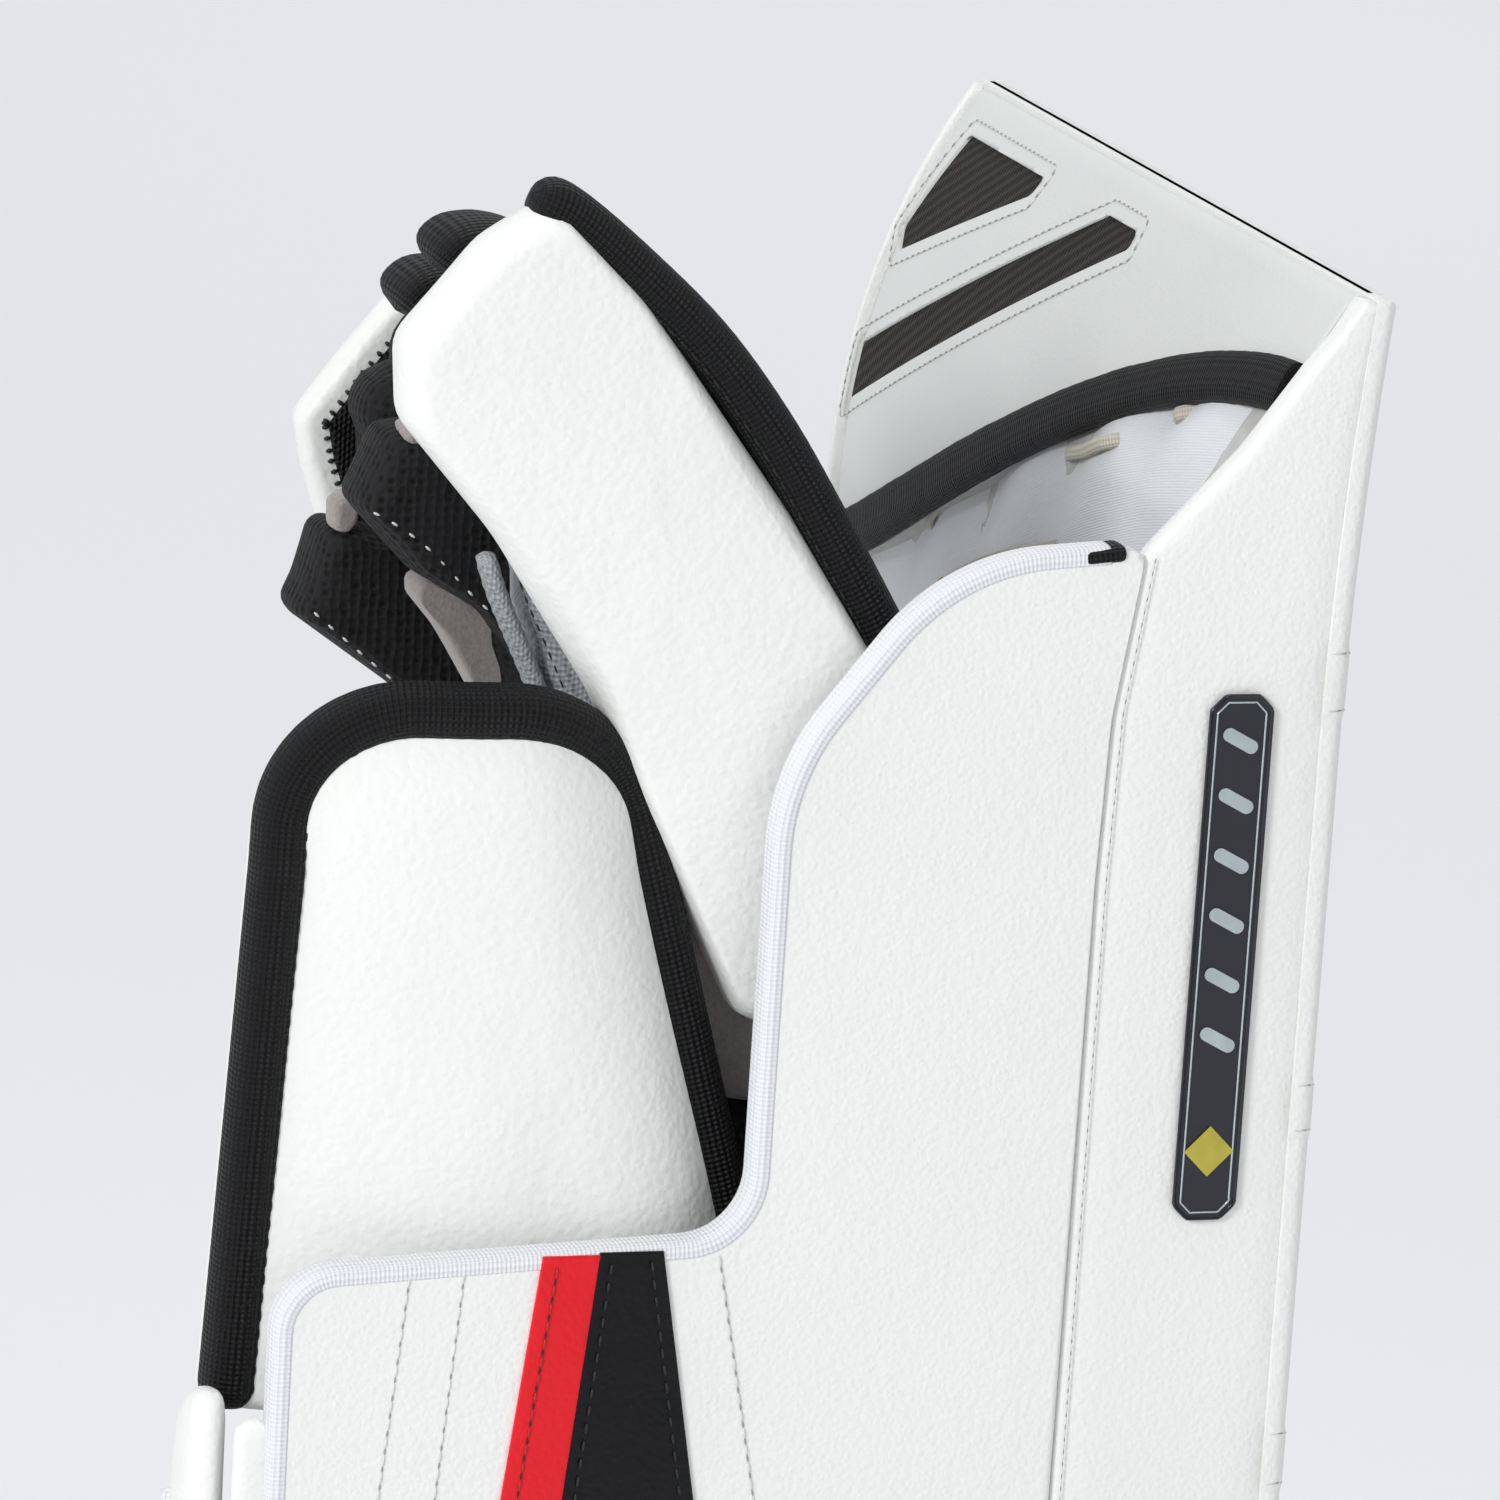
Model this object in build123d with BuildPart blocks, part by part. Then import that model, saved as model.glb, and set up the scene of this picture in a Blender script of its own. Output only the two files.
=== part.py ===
from build123d import *
import os

# Goalie blocker for the right hand, in millimetres.
# +Z runs up the board towards the fingertips, -Y is the blocking side, +Y the palm side
# and -X the thumb side. The origin is on the bottom edge of the board, at its middle.

# Board
board_width = 203.0
board_length = 381.0
board_depth = 26.0
cover_thick = 1.5
plate_thick = 2.0
liner_thick = 1.0
panel_thick = 2.0
core_depth = 20.0
top_flare = 4.0
flare_height = 81.0
top_edge_thick = 6.0
bevel_height = 76.0
end_wall_thick = 2.0

# Side walls, side shield and cuff
thumb_wall_thick = 6.0
pinky_wall_thick = 2.0
wall_depth = 43.0
wall_turn_drop = 100.0
wall_step_drop = 44.0
wall_step = 5.0
wall_tip_drop = 26.0
wall_tip_step = 22.0
shield_reach = 100.0
shield_drop = 43.0
lobe_flat = 28.0
lobe_slope = 2.0
lobe_radius = 38.0
crotch_radius = 12.0
cuff_slope = 4.0
cuff_corner = 10.0
cuff_reach = 182.0
cuff_base_reach = 180.0
cuff_top = 219.0
shield_cover_thick = 2.0
shield_lining_thick = 1.0
edge_binding = 1.2
stripe_thick = 0.8
red_top = 137.0
seam_top = 127.0
black_top = 116.0
red_foot = 162.0
seam_foot = 148.0
black_foot = 76.0
wing_reach = 130.0
wing_top = 150.0
wing_core_thick = 4.0
wing_flat = 30.0
wing_slope = 45.0
wing_corner = 20.0

# Rim, windows and lace
rim_width = 9.0
rim_rise = 2.0
rim_left_drop = 12.0
rim_right_drop = 84.0
rim_middle = ((-36.0, 25.0), (38.0, 57.0))
window_recess = 0.8
lace_diameter = 3.2
lace_clearance = 0.5
lace_bend = 3.5
lace_sink = 5.0

# Badge
badge_width = 11.0
badge_length = 92.0
badge_thick = 0.8
inlay_thick = 0.4
badge_corner = 2.5
bar_count = 6
bar_pitch = 10.5
bar_length = 7.0
bar_width = 2.4
bar_turn = 28.0
bars_rise = 12.0
diamond_drop = 34.0
diamond_radius = 4.5
badge_centre_y = 19.5
badge_centre_z = 267.0

# Glove
glove_side_gap = 33.5
glove_width = 93.0
glove_back_y = 69.0
glove_depth = 62.0
glove_wall = 3.0
glove_corner = 18.0
glove_bottom = 130.0
glove_top = 249.0
pad_inset = 18.0
pad_bottom = 150.0
gusset_thick = 1.0
gusset_width = 24.0
gusset_height = 40.0
gusset_drop = 4.0
gusset_corner = 6.0

# Fingers
finger_width = 21.0
finger_pitch = 24.0
finger_wall = 2.0
knuckle_y = 106.0
knuckle_z = 270.0
knuckle_radius = 20.0
tip_radius = 9.0
index_tip = (142.0, 372.0)
middle_tip = (136.0, 366.0)
ring_tip = (136.0, 353.0)
pinky_tip = (136.0, 338.0)
guard_thick = 5.0
guard_lining = 2.0
pinky_guard_rim = 5.0
pinky_guard_corner = 4.0
pinky_lining_corner = 1.5

# Index guard
guard_inset = 11.5
index_guard_thick = 18.0
index_guard_corner = 6.0
index_guard_tip_corner = 4.0
guard_band_reach = 4.0
finger_guard_drop = 60.0
finger_shift = 2.0
guard_skin = 2.0
roll_width = 9.0
roll_rise = 1.5

# Thumb
thumb_hinge_inset = 10.0
thumb_hinge_z = 205.0
thumb_base_radius = 14.0
thumb_tip_radius = 10.0
thumb_lean = 6.0
thumb_tip_z = 276.0
thumb_width = 24.0
thumb_centre_y = 149.0
thumb_guard_bow = 10.0
thumb_guard_thick = 8.0
thumb_guard_bottom = 190.0
thumb_guard_top = 310.0
thumb_guard_back = 185.0
thumb_guard_front = 88.0
thumb_guard_flat = 65.0
thumb_guard_waist = 107.0
thumb_guard_crown_radius = 34.0
thumb_guard_waist_radius = 60.0
guard_tuck = 10.0
bow_centre_y = 137.0
bow_half = 53.0

# Wrist strap and palm flap
strap_bottom = 202.0
strap_height = 30.0
strap_thick = 2.5
strap_length = 45.0
strap_hinge_inset = 18.0
anchor_width = 12.0
patch_thick = 1.2
patch_width = 24.0
fit_gap = 0.4
flap_hinge_inset = 4.5
flap_y = 190.0
flap_thick = 9.0
flap_reach = 121.0
flap_top = 190.0
flap_lip = 17.0
flap_lean = 3.0
flap_notch = 30.0
flap_fall = 35.0
flap_bottom = 4.0
flap_corner = 6.0

os.makedirs("parts", exist_ok=True)

left = -board_width / 2
right = board_width / 2
inner_left = left + thumb_wall_thick
inner_right = right - pinky_wall_thick
flare_start = board_length - flare_height
bevel_start = board_length - bevel_height
top_back = top_edge_thick - top_flare
far = 1000.0
glove_left = left + glove_side_gap
index_guard_outer = left + guard_inset
index_guard_inner = index_guard_outer + index_guard_thick
thumb_hinge_x = glove_left + thumb_hinge_inset
thumb_tip = (thumb_hinge_x - thumb_lean, thumb_tip_z)
thumb_guard_crest = left + guard_inset
thumb_guard_edge = thumb_guard_crest + thumb_guard_bow
flap_hinge_x = left + flap_hinge_inset


def finish(piece, name):
    piece.part.label = name
    export_step(piece.part, f"parts/{name}.step")


def front_line(shift, bottom):
    # The blocking face in side view: straight, then flaring forward towards the top.
    Line((shift, bottom), (shift, flare_start))
    TangentArc((shift, flare_start), (shift - top_flare, board_length), tangent=(0, 1))


def back_line(shift, bottom):
    # The board's back in side view: straight, then bevelled forward to the top edge.
    Line((board_depth + shift, bottom), (board_depth + shift, bevel_start))
    TangentArc((board_depth + shift, bevel_start), (top_back + shift, board_length), tangent=(0, 1))


def board_slice(front_shift, back_shift, bottom):
    # The side view of the board between a copy of its front and a copy of its back.
    with BuildSketch(Plane.YZ.offset(inner_left)) as profile:
        with BuildLine():
            front_line(front_shift, bottom)
            back_line(back_shift, bottom)
            Line((front_shift, bottom), (board_depth + back_shift, bottom))
            Line((front_shift - top_flare, board_length), (top_back + back_shift, board_length))
        make_face()
    extrude(profile.sketch, amount=inner_right - inner_left)


def keep_depth(low, high):
    # Keeps what lies between two depths behind the blocking face.
    with BuildSketch(Plane.XY) as zone:
        with Locations((0, (low + high) / 2)):
            Rectangle(2 * far, high - low)
    extrude(zone.sketch, amount=far, mode=Mode.INTERSECT)


def rim_curve(shift):
    # The upper line of the rim, seen from behind, falling from the thumb side.
    return Spline(
        (inner_left, board_length - rim_left_drop + shift),
        *[(x, board_length - drop + shift) for x, drop in rim_middle],
        (inner_right, board_length - rim_right_drop + shift),
    )


def keep_rim_band(low, high):
    # Keeps what lies between two copies of the rim line; None stands for no limit.
    with BuildSketch(Plane.XZ) as zone:
        with BuildLine():
            if low is None:
                Polyline((inner_left, -far), (inner_right, -far))
                low_left = low_right = -far
            else:
                rim_curve(low)
                low_left = board_length - rim_left_drop + low
                low_right = board_length - rim_right_drop + low
            if high is None:
                Polyline((inner_left, far), (inner_right, far))
                high_left = high_right = far
            else:
                rim_curve(high)
                high_left = board_length - rim_left_drop + high
                high_right = board_length - rim_right_drop + high
            Line((inner_left, low_left), (inner_left, high_left))
            Line((inner_right, low_right), (inner_right, high_right))
        make_face()
    extrude(zone.sketch, amount=far, both=True, mode=Mode.INTERSECT)


def window_shapes():
    # Corners of the two vents, measured from the top corner on the pinky side.
    upper = [(-13.5, -8), (-55, -8), (-54, -11.5), (-8.5, -31), (-5.5, -27)]
    lower = [(-89.5, -8), (-104.5, -8), (-105.5, -11), (-5.5, -60), (-5.5, -49)]
    return [[(right + x, board_length + z) for x, z in shape] for shape in (upper, lower)]


# ---- Board ----

with BuildPart() as front_cover:
    with BuildSketch(Plane.YZ.offset(left)):
        with BuildLine():
            front_line(0, 0)
            front_line(cover_thick, 0)
            Line((0, 0), (cover_thick, 0))
            Line((-top_flare, board_length), (cover_thick - top_flare, board_length))
        make_face()
    extrude(amount=board_width)
finish(front_cover, "front_cover")

with BuildPart() as stiffener_plate:
    with BuildSketch(Plane.YZ.offset(inner_left)):
        with BuildLine():
            front_line(cover_thick, end_wall_thick)
            front_line(cover_thick + plate_thick, end_wall_thick)
            Line((cover_thick, end_wall_thick), (cover_thick + plate_thick, end_wall_thick))
            Line(
                (cover_thick - top_flare, board_length),
                (cover_thick + plate_thick - top_flare, board_length),
            )
        make_face()
    extrude(amount=inner_right - inner_left)
finish(stiffener_plate, "stiffener_plate")

# The lace runs along the lower edge of the rim, over the liner and under it by turns.
lace_over = core_depth + liner_thick + lace_diameter / 2
lace_under = core_depth - lace_sink
lace_path = [
    (-44.0, lace_over, board_length - 35.5),
    (-30.0, lace_over, board_length - 41.0),
    (-23.0, lace_under, board_length - 44.0),
    (-12.0, lace_under, board_length - 48.6),
    (-5.0, lace_over, board_length - 51.0),
    (10.0, lace_over, board_length - 57.5),
    (17.0, lace_under, board_length - 61.0),
    (27.0, lace_under, board_length - 65.0),
    (34.0, lace_over, board_length - 67.5),
    (48.0, lace_over, board_length - 74.0),
    (55.0, lace_under, board_length - 77.0),
    (64.0, lace_under, board_length - 81.0),
    (71.0, lace_over, board_length - 83.5),
    (84.0, lace_over, board_length - 89.5),
]
tail_path = [
    (-26.0, lace_under, board_length - 61.0),
    (-18.0, lace_over, board_length - 64.0),
    (8.0, lace_over, board_length - 72.5),
    (32.0, lace_over, board_length - 84.0),
]


def lace_tube(points, diameter):
    with BuildLine() as route:
        FilletPolyline(*points, radius=lace_bend)
    with BuildSketch(Plane(origin=route.line @ 0, z_dir=route.line % 0)) as section:
        Circle(diameter / 2)
    sweep(section.sketch, path=route.line)


with BuildPart() as lace_room:
    lace_tube(lace_path, lace_diameter + 2 * lace_clearance)
with BuildPart() as tail_room:
    lace_tube(tail_path, lace_diameter + 2 * lace_clearance)

with BuildPart() as plain_core:
    board_slice(cover_thick + plate_thick, -panel_thick, end_wall_thick)
    keep_depth(-far, core_depth)

with BuildPart() as board_core:
    add(plain_core.part)
    add(lace_room.part, mode=Mode.SUBTRACT)
    add(tail_room.part, mode=Mode.SUBTRACT)
finish(board_core, "board_core")

with BuildPart() as back_liner:
    board_slice(cover_thick + plate_thick, liner_thick - panel_thick, end_wall_thick)
    keep_depth(-far, core_depth + liner_thick)
    add(plain_core.part, mode=Mode.SUBTRACT)
    keep_rim_band(None, -rim_width)
    add(lace_room.part, mode=Mode.SUBTRACT)
    add(tail_room.part, mode=Mode.SUBTRACT)
finish(back_liner, "back_liner")

with BuildPart() as end_panel_foam:
    board_slice(cover_thick + plate_thick, -panel_thick, end_wall_thick)
    keep_depth(core_depth, far)
    keep_rim_band(-rim_width, None)
finish(end_panel_foam, "end_panel_foam")

with BuildPart() as end_panel:
    board_slice(cover_thick + plate_thick, 0, end_wall_thick)
    with BuildSketch(Plane.YZ.offset(inner_left)):
        with BuildLine():
            back_line(-panel_thick, 0)
            Line((board_depth - panel_thick, 0), (-far, 0))
            Line((-far, 0), (-far, board_length))
            Line((-far, board_length), (top_back - panel_thick, board_length))
        make_face()
    extrude(amount=inner_right - inner_left, mode=Mode.SUBTRACT)
    keep_rim_band(0, None)
    with BuildSketch(Plane.XZ):
        for corners in window_shapes():
            with BuildLine():
                Polyline(*corners, close=True)
            make_face()
    extrude(amount=far, both=True, mode=Mode.SUBTRACT)
finish(end_panel, "end_panel")

for name, corners in zip(("window_mesh_upper", "window_mesh_lower"), window_shapes()):
    with BuildPart() as window_mesh:
        with BuildSketch(Plane.YZ.offset(inner_left)):
            with BuildLine():
                back_line(-panel_thick, 0)
                back_line(-window_recess, 0)
                Line((board_depth - panel_thick, 0), (board_depth - window_recess, 0))
                Line(
                    (top_back - panel_thick, board_length),
                    (top_back - window_recess, board_length),
                )
            make_face()
        extrude(amount=inner_right - inner_left)
        with BuildSketch(Plane.XZ):
            with BuildLine():
                Polyline(*corners, close=True)
            make_face()
        extrude(amount=far, both=True, mode=Mode.INTERSECT)
    finish(window_mesh, name)

with BuildPart() as rim_binding:
    board_slice(cover_thick + plate_thick, rim_rise, end_wall_thick)
    with BuildSketch(Plane.YZ.offset(inner_left)):
        with BuildLine():
            back_line(-panel_thick, 0)
            Line((board_depth - panel_thick, 0), (-far, 0))
            Line((-far, 0), (-far, board_length))
            Line((-far, board_length), (top_back - panel_thick, board_length))
        make_face()
    extrude(amount=inner_right - inner_left, mode=Mode.SUBTRACT)
    keep_rim_band(-rim_width, 0)
finish(rim_binding, "rim_binding")

with BuildPart() as rim_lace:
    lace_tube(lace_path, lace_diameter)
    lace_tube(tail_path, lace_diameter)
finish(rim_lace, "rim_lace")

with BuildPart() as thumb_side_wall:
    with BuildSketch(Plane.YZ.offset(left)):
        with BuildLine():
            front_line(cover_thick, 0)
            Line((cover_thick, 0), (wall_depth, 0))
            Line((wall_depth, 0), (wall_depth, board_length - wall_turn_drop))
            TangentArc(
                (wall_depth, board_length - wall_turn_drop),
                (wall_depth - wall_step, board_length - wall_step_drop),
                tangent=(0, 1),
            )
            Polyline(
                (wall_depth - wall_step, board_length - wall_step_drop),
                (wall_depth - wall_tip_step, board_length - wall_tip_drop),
                (top_back, board_length),
                (cover_thick - top_flare, board_length),
            )
        make_face()
    extrude(amount=thumb_wall_thick)
finish(thumb_side_wall, "thumb_side_wall")

with BuildPart() as pinky_side_wall:
    with BuildSketch(Plane.YZ.offset(inner_right)):
        with BuildLine():
            front_line(cover_thick, 0)
            back_line(0, 0)
            Line((cover_thick, 0), (board_depth, 0))
            Line((cover_thick - top_flare, board_length), (top_back, board_length))
        make_face()
    extrude(amount=pinky_wall_thick)
finish(pinky_side_wall, "pinky_side_wall")

with BuildPart() as bottom_end_wall:
    with BuildSketch(Plane.XY):
        with Locations((inner_left, cover_thick)):
            Rectangle(
                inner_right - inner_left,
                core_depth + liner_thick - cover_thick,
                align=(Align.MIN, Align.MIN),
            )
    extrude(amount=end_wall_thick)
finish(bottom_end_wall, "bottom_end_wall")

# ---- Side shield and cuff on the thumb side ----

shield_top = board_length - shield_drop


def shield_face():
    # The shield in side view: a lobe beside the fingers, then the deep cuff below it.
    with BuildLine() as outline:
        Polyline(
            (wall_depth, 0),
            (wall_depth, shield_top),
            (shield_reach - lobe_flat, shield_top - lobe_slope),
            (shield_reach, shield_top - lobe_radius),
            (shield_reach, cuff_top),
            (cuff_reach, cuff_top - cuff_slope),
            (cuff_base_reach, 0),
            close=True,
        )
    make_face(outline.edges())
    lobe_start = (shield_reach - lobe_flat, shield_top - lobe_slope)
    lobe_end = (shield_reach, shield_top - lobe_radius)
    for corner in (lobe_start, lobe_end):
        fillet(vertices().sort_by_distance(corner)[0], radius=lobe_radius)
    fillet(vertices().sort_by_distance((shield_reach, cuff_top))[0], radius=crotch_radius)
    fillet(vertices().sort_by_distance((cuff_reach, cuff_top - cuff_slope))[0], radius=cuff_corner)


def shield_layer(start, thick):
    with BuildSketch(Plane.YZ.offset(start)) as profile:
        shield_face()
    extrude(profile.sketch, amount=thick)


with BuildPart() as side_shield_cover:
    shield_layer(left, shield_cover_thick)
finish(side_shield_cover, "side_shield_cover")

with BuildPart() as side_shield_core:
    shield_layer(
        left + shield_cover_thick, thumb_wall_thick - shield_cover_thick - shield_lining_thick
    )
finish(side_shield_core, "side_shield_core")

with BuildPart() as side_shield_lining:
    shield_layer(inner_left - shield_lining_thick, shield_lining_thick)
finish(side_shield_lining, "side_shield_lining")

with BuildPart() as shield_binding:
    with BuildSketch(Plane.YZ.offset(left)):
        shield_face()
        offset(amount=edge_binding)
    extrude(amount=thumb_wall_thick)
    with BuildSketch(Plane.YZ.offset(left)):
        shield_face()
    extrude(amount=thumb_wall_thick, mode=Mode.SUBTRACT)
    with BuildSketch(Plane.YZ.offset(left)):
        with Locations((wall_depth, 0)):
            Rectangle(far, far, align=(Align.MIN, Align.MIN))
    extrude(amount=thumb_wall_thick, mode=Mode.INTERSECT)
finish(shield_binding, "shield_binding")


def stripe(name, corners):
    # A leather stripe sewn on the outside of the cuff, trimmed to the shield's outline.
    with BuildPart() as piece:
        with BuildSketch(Plane.YZ.offset(left - stripe_thick)):
            shield_face()
            with BuildLine():
                Polyline(*corners, close=True)
            make_face(mode=Mode.INTERSECT)
        extrude(amount=stripe_thick)
    finish(piece, name)


stripe(
    "red_stripe", [(red_top, cuff_top), (seam_top, cuff_top), (seam_foot, 0), (red_foot, 0)]
)
stripe(
    "black_stripe", [(seam_top, cuff_top), (black_top, cuff_top), (black_foot, 0), (seam_foot, 0)]
)

with BuildPart() as badge_plate:
    with BuildSketch(Plane.YZ.offset(left - badge_thick)):
        with Locations((badge_centre_y, badge_centre_z)):
            Rectangle(badge_width, badge_length)
        chamfer(vertices(), length=badge_corner)
    extrude(amount=badge_thick)
finish(badge_plate, "badge_plate")

with BuildPart() as badge_bars:
    with BuildSketch(Plane.YZ.offset(left - badge_thick - inlay_thick)):
        with Locations((badge_centre_y, badge_centre_z + bars_rise)):
            with GridLocations(0, bar_pitch, 1, bar_count):
                SlotOverall(bar_length, bar_width, rotation=bar_turn)
    extrude(amount=inlay_thick)
finish(badge_bars, "badge_bars")

with BuildPart() as badge_diamond:
    with BuildSketch(Plane.YZ.offset(left - badge_thick - inlay_thick)):
        with Locations((badge_centre_y, badge_centre_z - diamond_drop)):
            RegularPolygon(radius=diamond_radius, side_count=4)
    extrude(amount=inlay_thick)
finish(badge_diamond, "badge_diamond")

# ---- Cuff wing on the pinky side ----


def wing_face():
    with BuildLine() as outline:
        Polyline(
            (board_depth, 0),
            (board_depth, wing_top),
            (board_depth + wing_flat, wing_top),
            (wing_reach, wing_top - wing_slope),
            (wing_reach, 0),
            close=True,
        )
    make_face(outline.edges())
    fillet(vertices().sort_by_distance((board_depth + wing_flat, wing_top))[0], radius=wing_corner)
    fillet(vertices().sort_by_distance((wing_reach, wing_top - wing_slope))[0], radius=wing_corner)


with BuildPart() as outer_wing_cover:
    with BuildSketch(Plane.YZ.offset(inner_right)):
        wing_face()
    extrude(amount=pinky_wall_thick)
finish(outer_wing_cover, "outer_wing_cover")

with BuildPart() as outer_wing_core:
    with BuildSketch(Plane.YZ.offset(inner_right - wing_core_thick)):
        wing_face()
    extrude(amount=wing_core_thick)
finish(outer_wing_core, "outer_wing_core")

with BuildPart() as outer_wing_binding:
    with BuildSketch(Plane.YZ.offset(inner_right - wing_core_thick)):
        wing_face()
        offset(amount=edge_binding)
    extrude(amount=wing_core_thick + pinky_wall_thick)
    with BuildSketch(Plane.YZ.offset(inner_right - wing_core_thick)):
        wing_face()
    extrude(amount=wing_core_thick + pinky_wall_thick, mode=Mode.SUBTRACT)
    with BuildSketch(Plane.YZ.offset(inner_right - wing_core_thick)):
        with Locations((board_depth, 0)):
            Rectangle(far, far, align=(Align.MIN, Align.MIN))
    extrude(amount=wing_core_thick + pinky_wall_thick, mode=Mode.INTERSECT)
finish(outer_wing_binding, "outer_wing_binding")

# ---- Glove body ----

glove_centre_x = glove_left + glove_width / 2
glove_centre_y = glove_back_y + glove_depth / 2
palm_y = glove_back_y + glove_depth


def glove_ring(low_y, high_y):
    # The hand's sleeve, a flattened ring, cut to one side of the hand.
    with BuildSketch(Plane.XY.offset(glove_bottom)) as ring:
        with Locations((glove_centre_x, glove_centre_y)):
            RectangleRounded(glove_width, glove_depth, glove_corner)
            RectangleRounded(
                glove_width - 2 * glove_wall,
                glove_depth - 2 * glove_wall,
                glove_corner - glove_wall,
                mode=Mode.SUBTRACT,
            )
        with Locations((glove_centre_x, (low_y + high_y) / 2)):
            Rectangle(2 * glove_width, high_y - low_y, mode=Mode.INTERSECT)
    extrude(ring.sketch, amount=glove_top - glove_bottom)


with BuildPart() as glove_back:
    glove_ring(glove_back_y, glove_centre_y)
finish(glove_back, "glove_back")

with BuildPart() as glove_palm:
    glove_ring(glove_centre_y, palm_y)
finish(glove_palm, "glove_palm")

with BuildPart() as back_hand_pad:
    with BuildSketch(Plane.XY.offset(pad_bottom)):
        with Locations((glove_centre_x, core_depth + liner_thick)):
            Rectangle(
                glove_width - 2 * pad_inset,
                glove_back_y - core_depth - liner_thick,
                align=(Align.CENTER, Align.MIN),
            )
    extrude(amount=glove_top - pad_bottom)
finish(back_hand_pad, "back_hand_pad")

with BuildPart() as thumb_gusset:
    with BuildSketch(Plane.YZ.offset(glove_left - gusset_thick)):
        with Locations((glove_centre_y, glove_top - gusset_height / 2 - gusset_drop)):
            RectangleRounded(gusset_width, gusset_height, gusset_corner)
    extrude(amount=gusset_thick)
finish(thumb_gusset, "thumb_gusset")

# ---- Fingers, each one free to bend at its knuckle ----

finger_names = ("index", "middle", "ring", "pinky")
finger_tips = (index_tip, middle_tip, ring_tip, pinky_tip)
finger_lefts = [glove_left - finger_shift + finger_pitch * number for number in range(4)]


def finger_face(tip, grow):
    # A finger in side view: a round knuckle tapering to a round tip.
    with Locations((knuckle_y, knuckle_z)):
        Circle(knuckle_radius + grow)
    with Locations(tip):
        Circle(tip_radius + grow)
    make_hull()


for name, tip, start in zip(finger_names, finger_tips, finger_lefts):
    with BuildPart() as stall:
        with BuildSketch(Plane.YZ.offset(start)):
            finger_face(tip, 0)
        extrude(amount=finger_width)
        with BuildSketch(Plane.YZ.offset(start + finger_wall)):
            finger_face(tip, -finger_wall)
        extrude(amount=finger_width - 2 * finger_wall, mode=Mode.SUBTRACT)
        with BuildSketch(Plane.XY.offset(knuckle_z - knuckle_radius)):
            with Locations((start, knuckle_y)):
                Rectangle(finger_width, far, align=(Align.MIN, Align.CENTER))
        extrude(amount=knuckle_radius / 2, mode=Mode.SUBTRACT)
    finish(stall, f"{name}_stall")


def guard_band(tip, inner, outer, drop):
    # A padded band over a fingertip and down the back of the finger.
    finger_face(tip, outer)
    with BuildSketch() as bare:
        finger_face(tip, inner)
    add(bare.sketch, mode=Mode.SUBTRACT)
    with BuildLine() as limit:
        Polyline(
            (tip[0] - far, tip[1] + far),
            (tip[0] + far, tip[1] + far),
            (tip[0] + far, tip[1] - guard_band_reach),
            (tip[0], tip[1] - guard_band_reach),
            (tip[0] - 20, tip[1] - drop),
            (tip[0] - far, tip[1] - drop),
            close=True,
        )
    make_face(limit.edges(), mode=Mode.INTERSECT)


for name, tip, start in list(zip(finger_names, finger_tips, finger_lefts))[1:3]:
    with BuildPart() as guard:
        with BuildSketch(Plane.YZ.offset(start)):
            guard_band(tip, 0, guard_thick, finger_guard_drop)
        extrude(amount=finger_width)
    finish(guard, f"{name}_guard")

pinky_side = finger_lefts[3] + finger_width


def pinky_guard_face(inset):
    # The pinky guard in side view: a paddle over the outer side of the little finger.
    tip_y, tip_z = pinky_tip
    with BuildLine() as outline:
        Polyline(
            (tip_y - 32, tip_z - 46),
            (tip_y - 24, tip_z - 8),
            (tip_y - 8, tip_z + 17),
            (tip_y + 1, tip_z + 17),
            (tip_y + 15, tip_z - 5),
            (tip_y + 7, tip_z - 25),
            (tip_y - 3, tip_z - 53),
            close=True,
        )
    face = make_face(outline.edges(), mode=Mode.PRIVATE)
    add(offset(face, amount=-inset, kind=Kind.INTERSECTION, mode=Mode.PRIVATE) if inset else face)
    fillet(vertices(), radius=pinky_lining_corner if inset else pinky_guard_corner)


with BuildPart() as pinky_guard_lining:
    with BuildSketch(Plane.YZ.offset(pinky_side)):
        pinky_guard_face(pinky_guard_rim)
    extrude(amount=guard_lining)
finish(pinky_guard_lining, "pinky_guard_lining")

with BuildPart() as pinky_guard:
    with BuildSketch(Plane.YZ.offset(pinky_side)):
        pinky_guard_face(0)
    extrude(amount=guard_lining + guard_thick)
    with BuildSketch(Plane.YZ.offset(pinky_side)):
        pinky_guard_face(pinky_guard_rim)
    extrude(amount=guard_lining, mode=Mode.SUBTRACT)
finish(pinky_guard, "pinky_guard")


def index_guard_face():
    # The index guard in side view: a long paddle leaning back over the finger.
    with BuildLine() as outline:
        Spline((74, 316), (92, 353), (118, 385), (138, 397))
        Polyline((138, 397), (149, 394), (165, 374), (161, 356), (136, 339), (92, 254), (82, 262))
        Line((82, 262), (74, 316))
    make_face(outline.edges())
    fillet(vertices().sort_by_distance((165, 374))[0], radius=index_guard_corner)
    fillet(vertices().sort_by_distance((149, 394))[0], radius=index_guard_tip_corner)


def index_roll_face():
    # The black roll that edges the guard on the side of the board.
    with BuildLine() as outline:
        Spline((74, 316), (92, 353), (118, 385), (138, 397))
        Polyline((138, 397), (149, 394), (145, 387))
        Spline((145, 387), (124, 376), (100, 348), (83, 314))
        Line((83, 314), (74, 316))
    make_face(outline.edges())


with BuildPart() as index_guard_shell:
    with BuildSketch(Plane.YZ.offset(index_guard_outer)):
        index_guard_face()
        with BuildSketch(mode=Mode.PRIVATE) as roll:
            index_roll_face()
        add(roll.sketch, mode=Mode.SUBTRACT)
    extrude(amount=guard_skin)
finish(index_guard_shell, "index_guard_shell")

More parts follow.
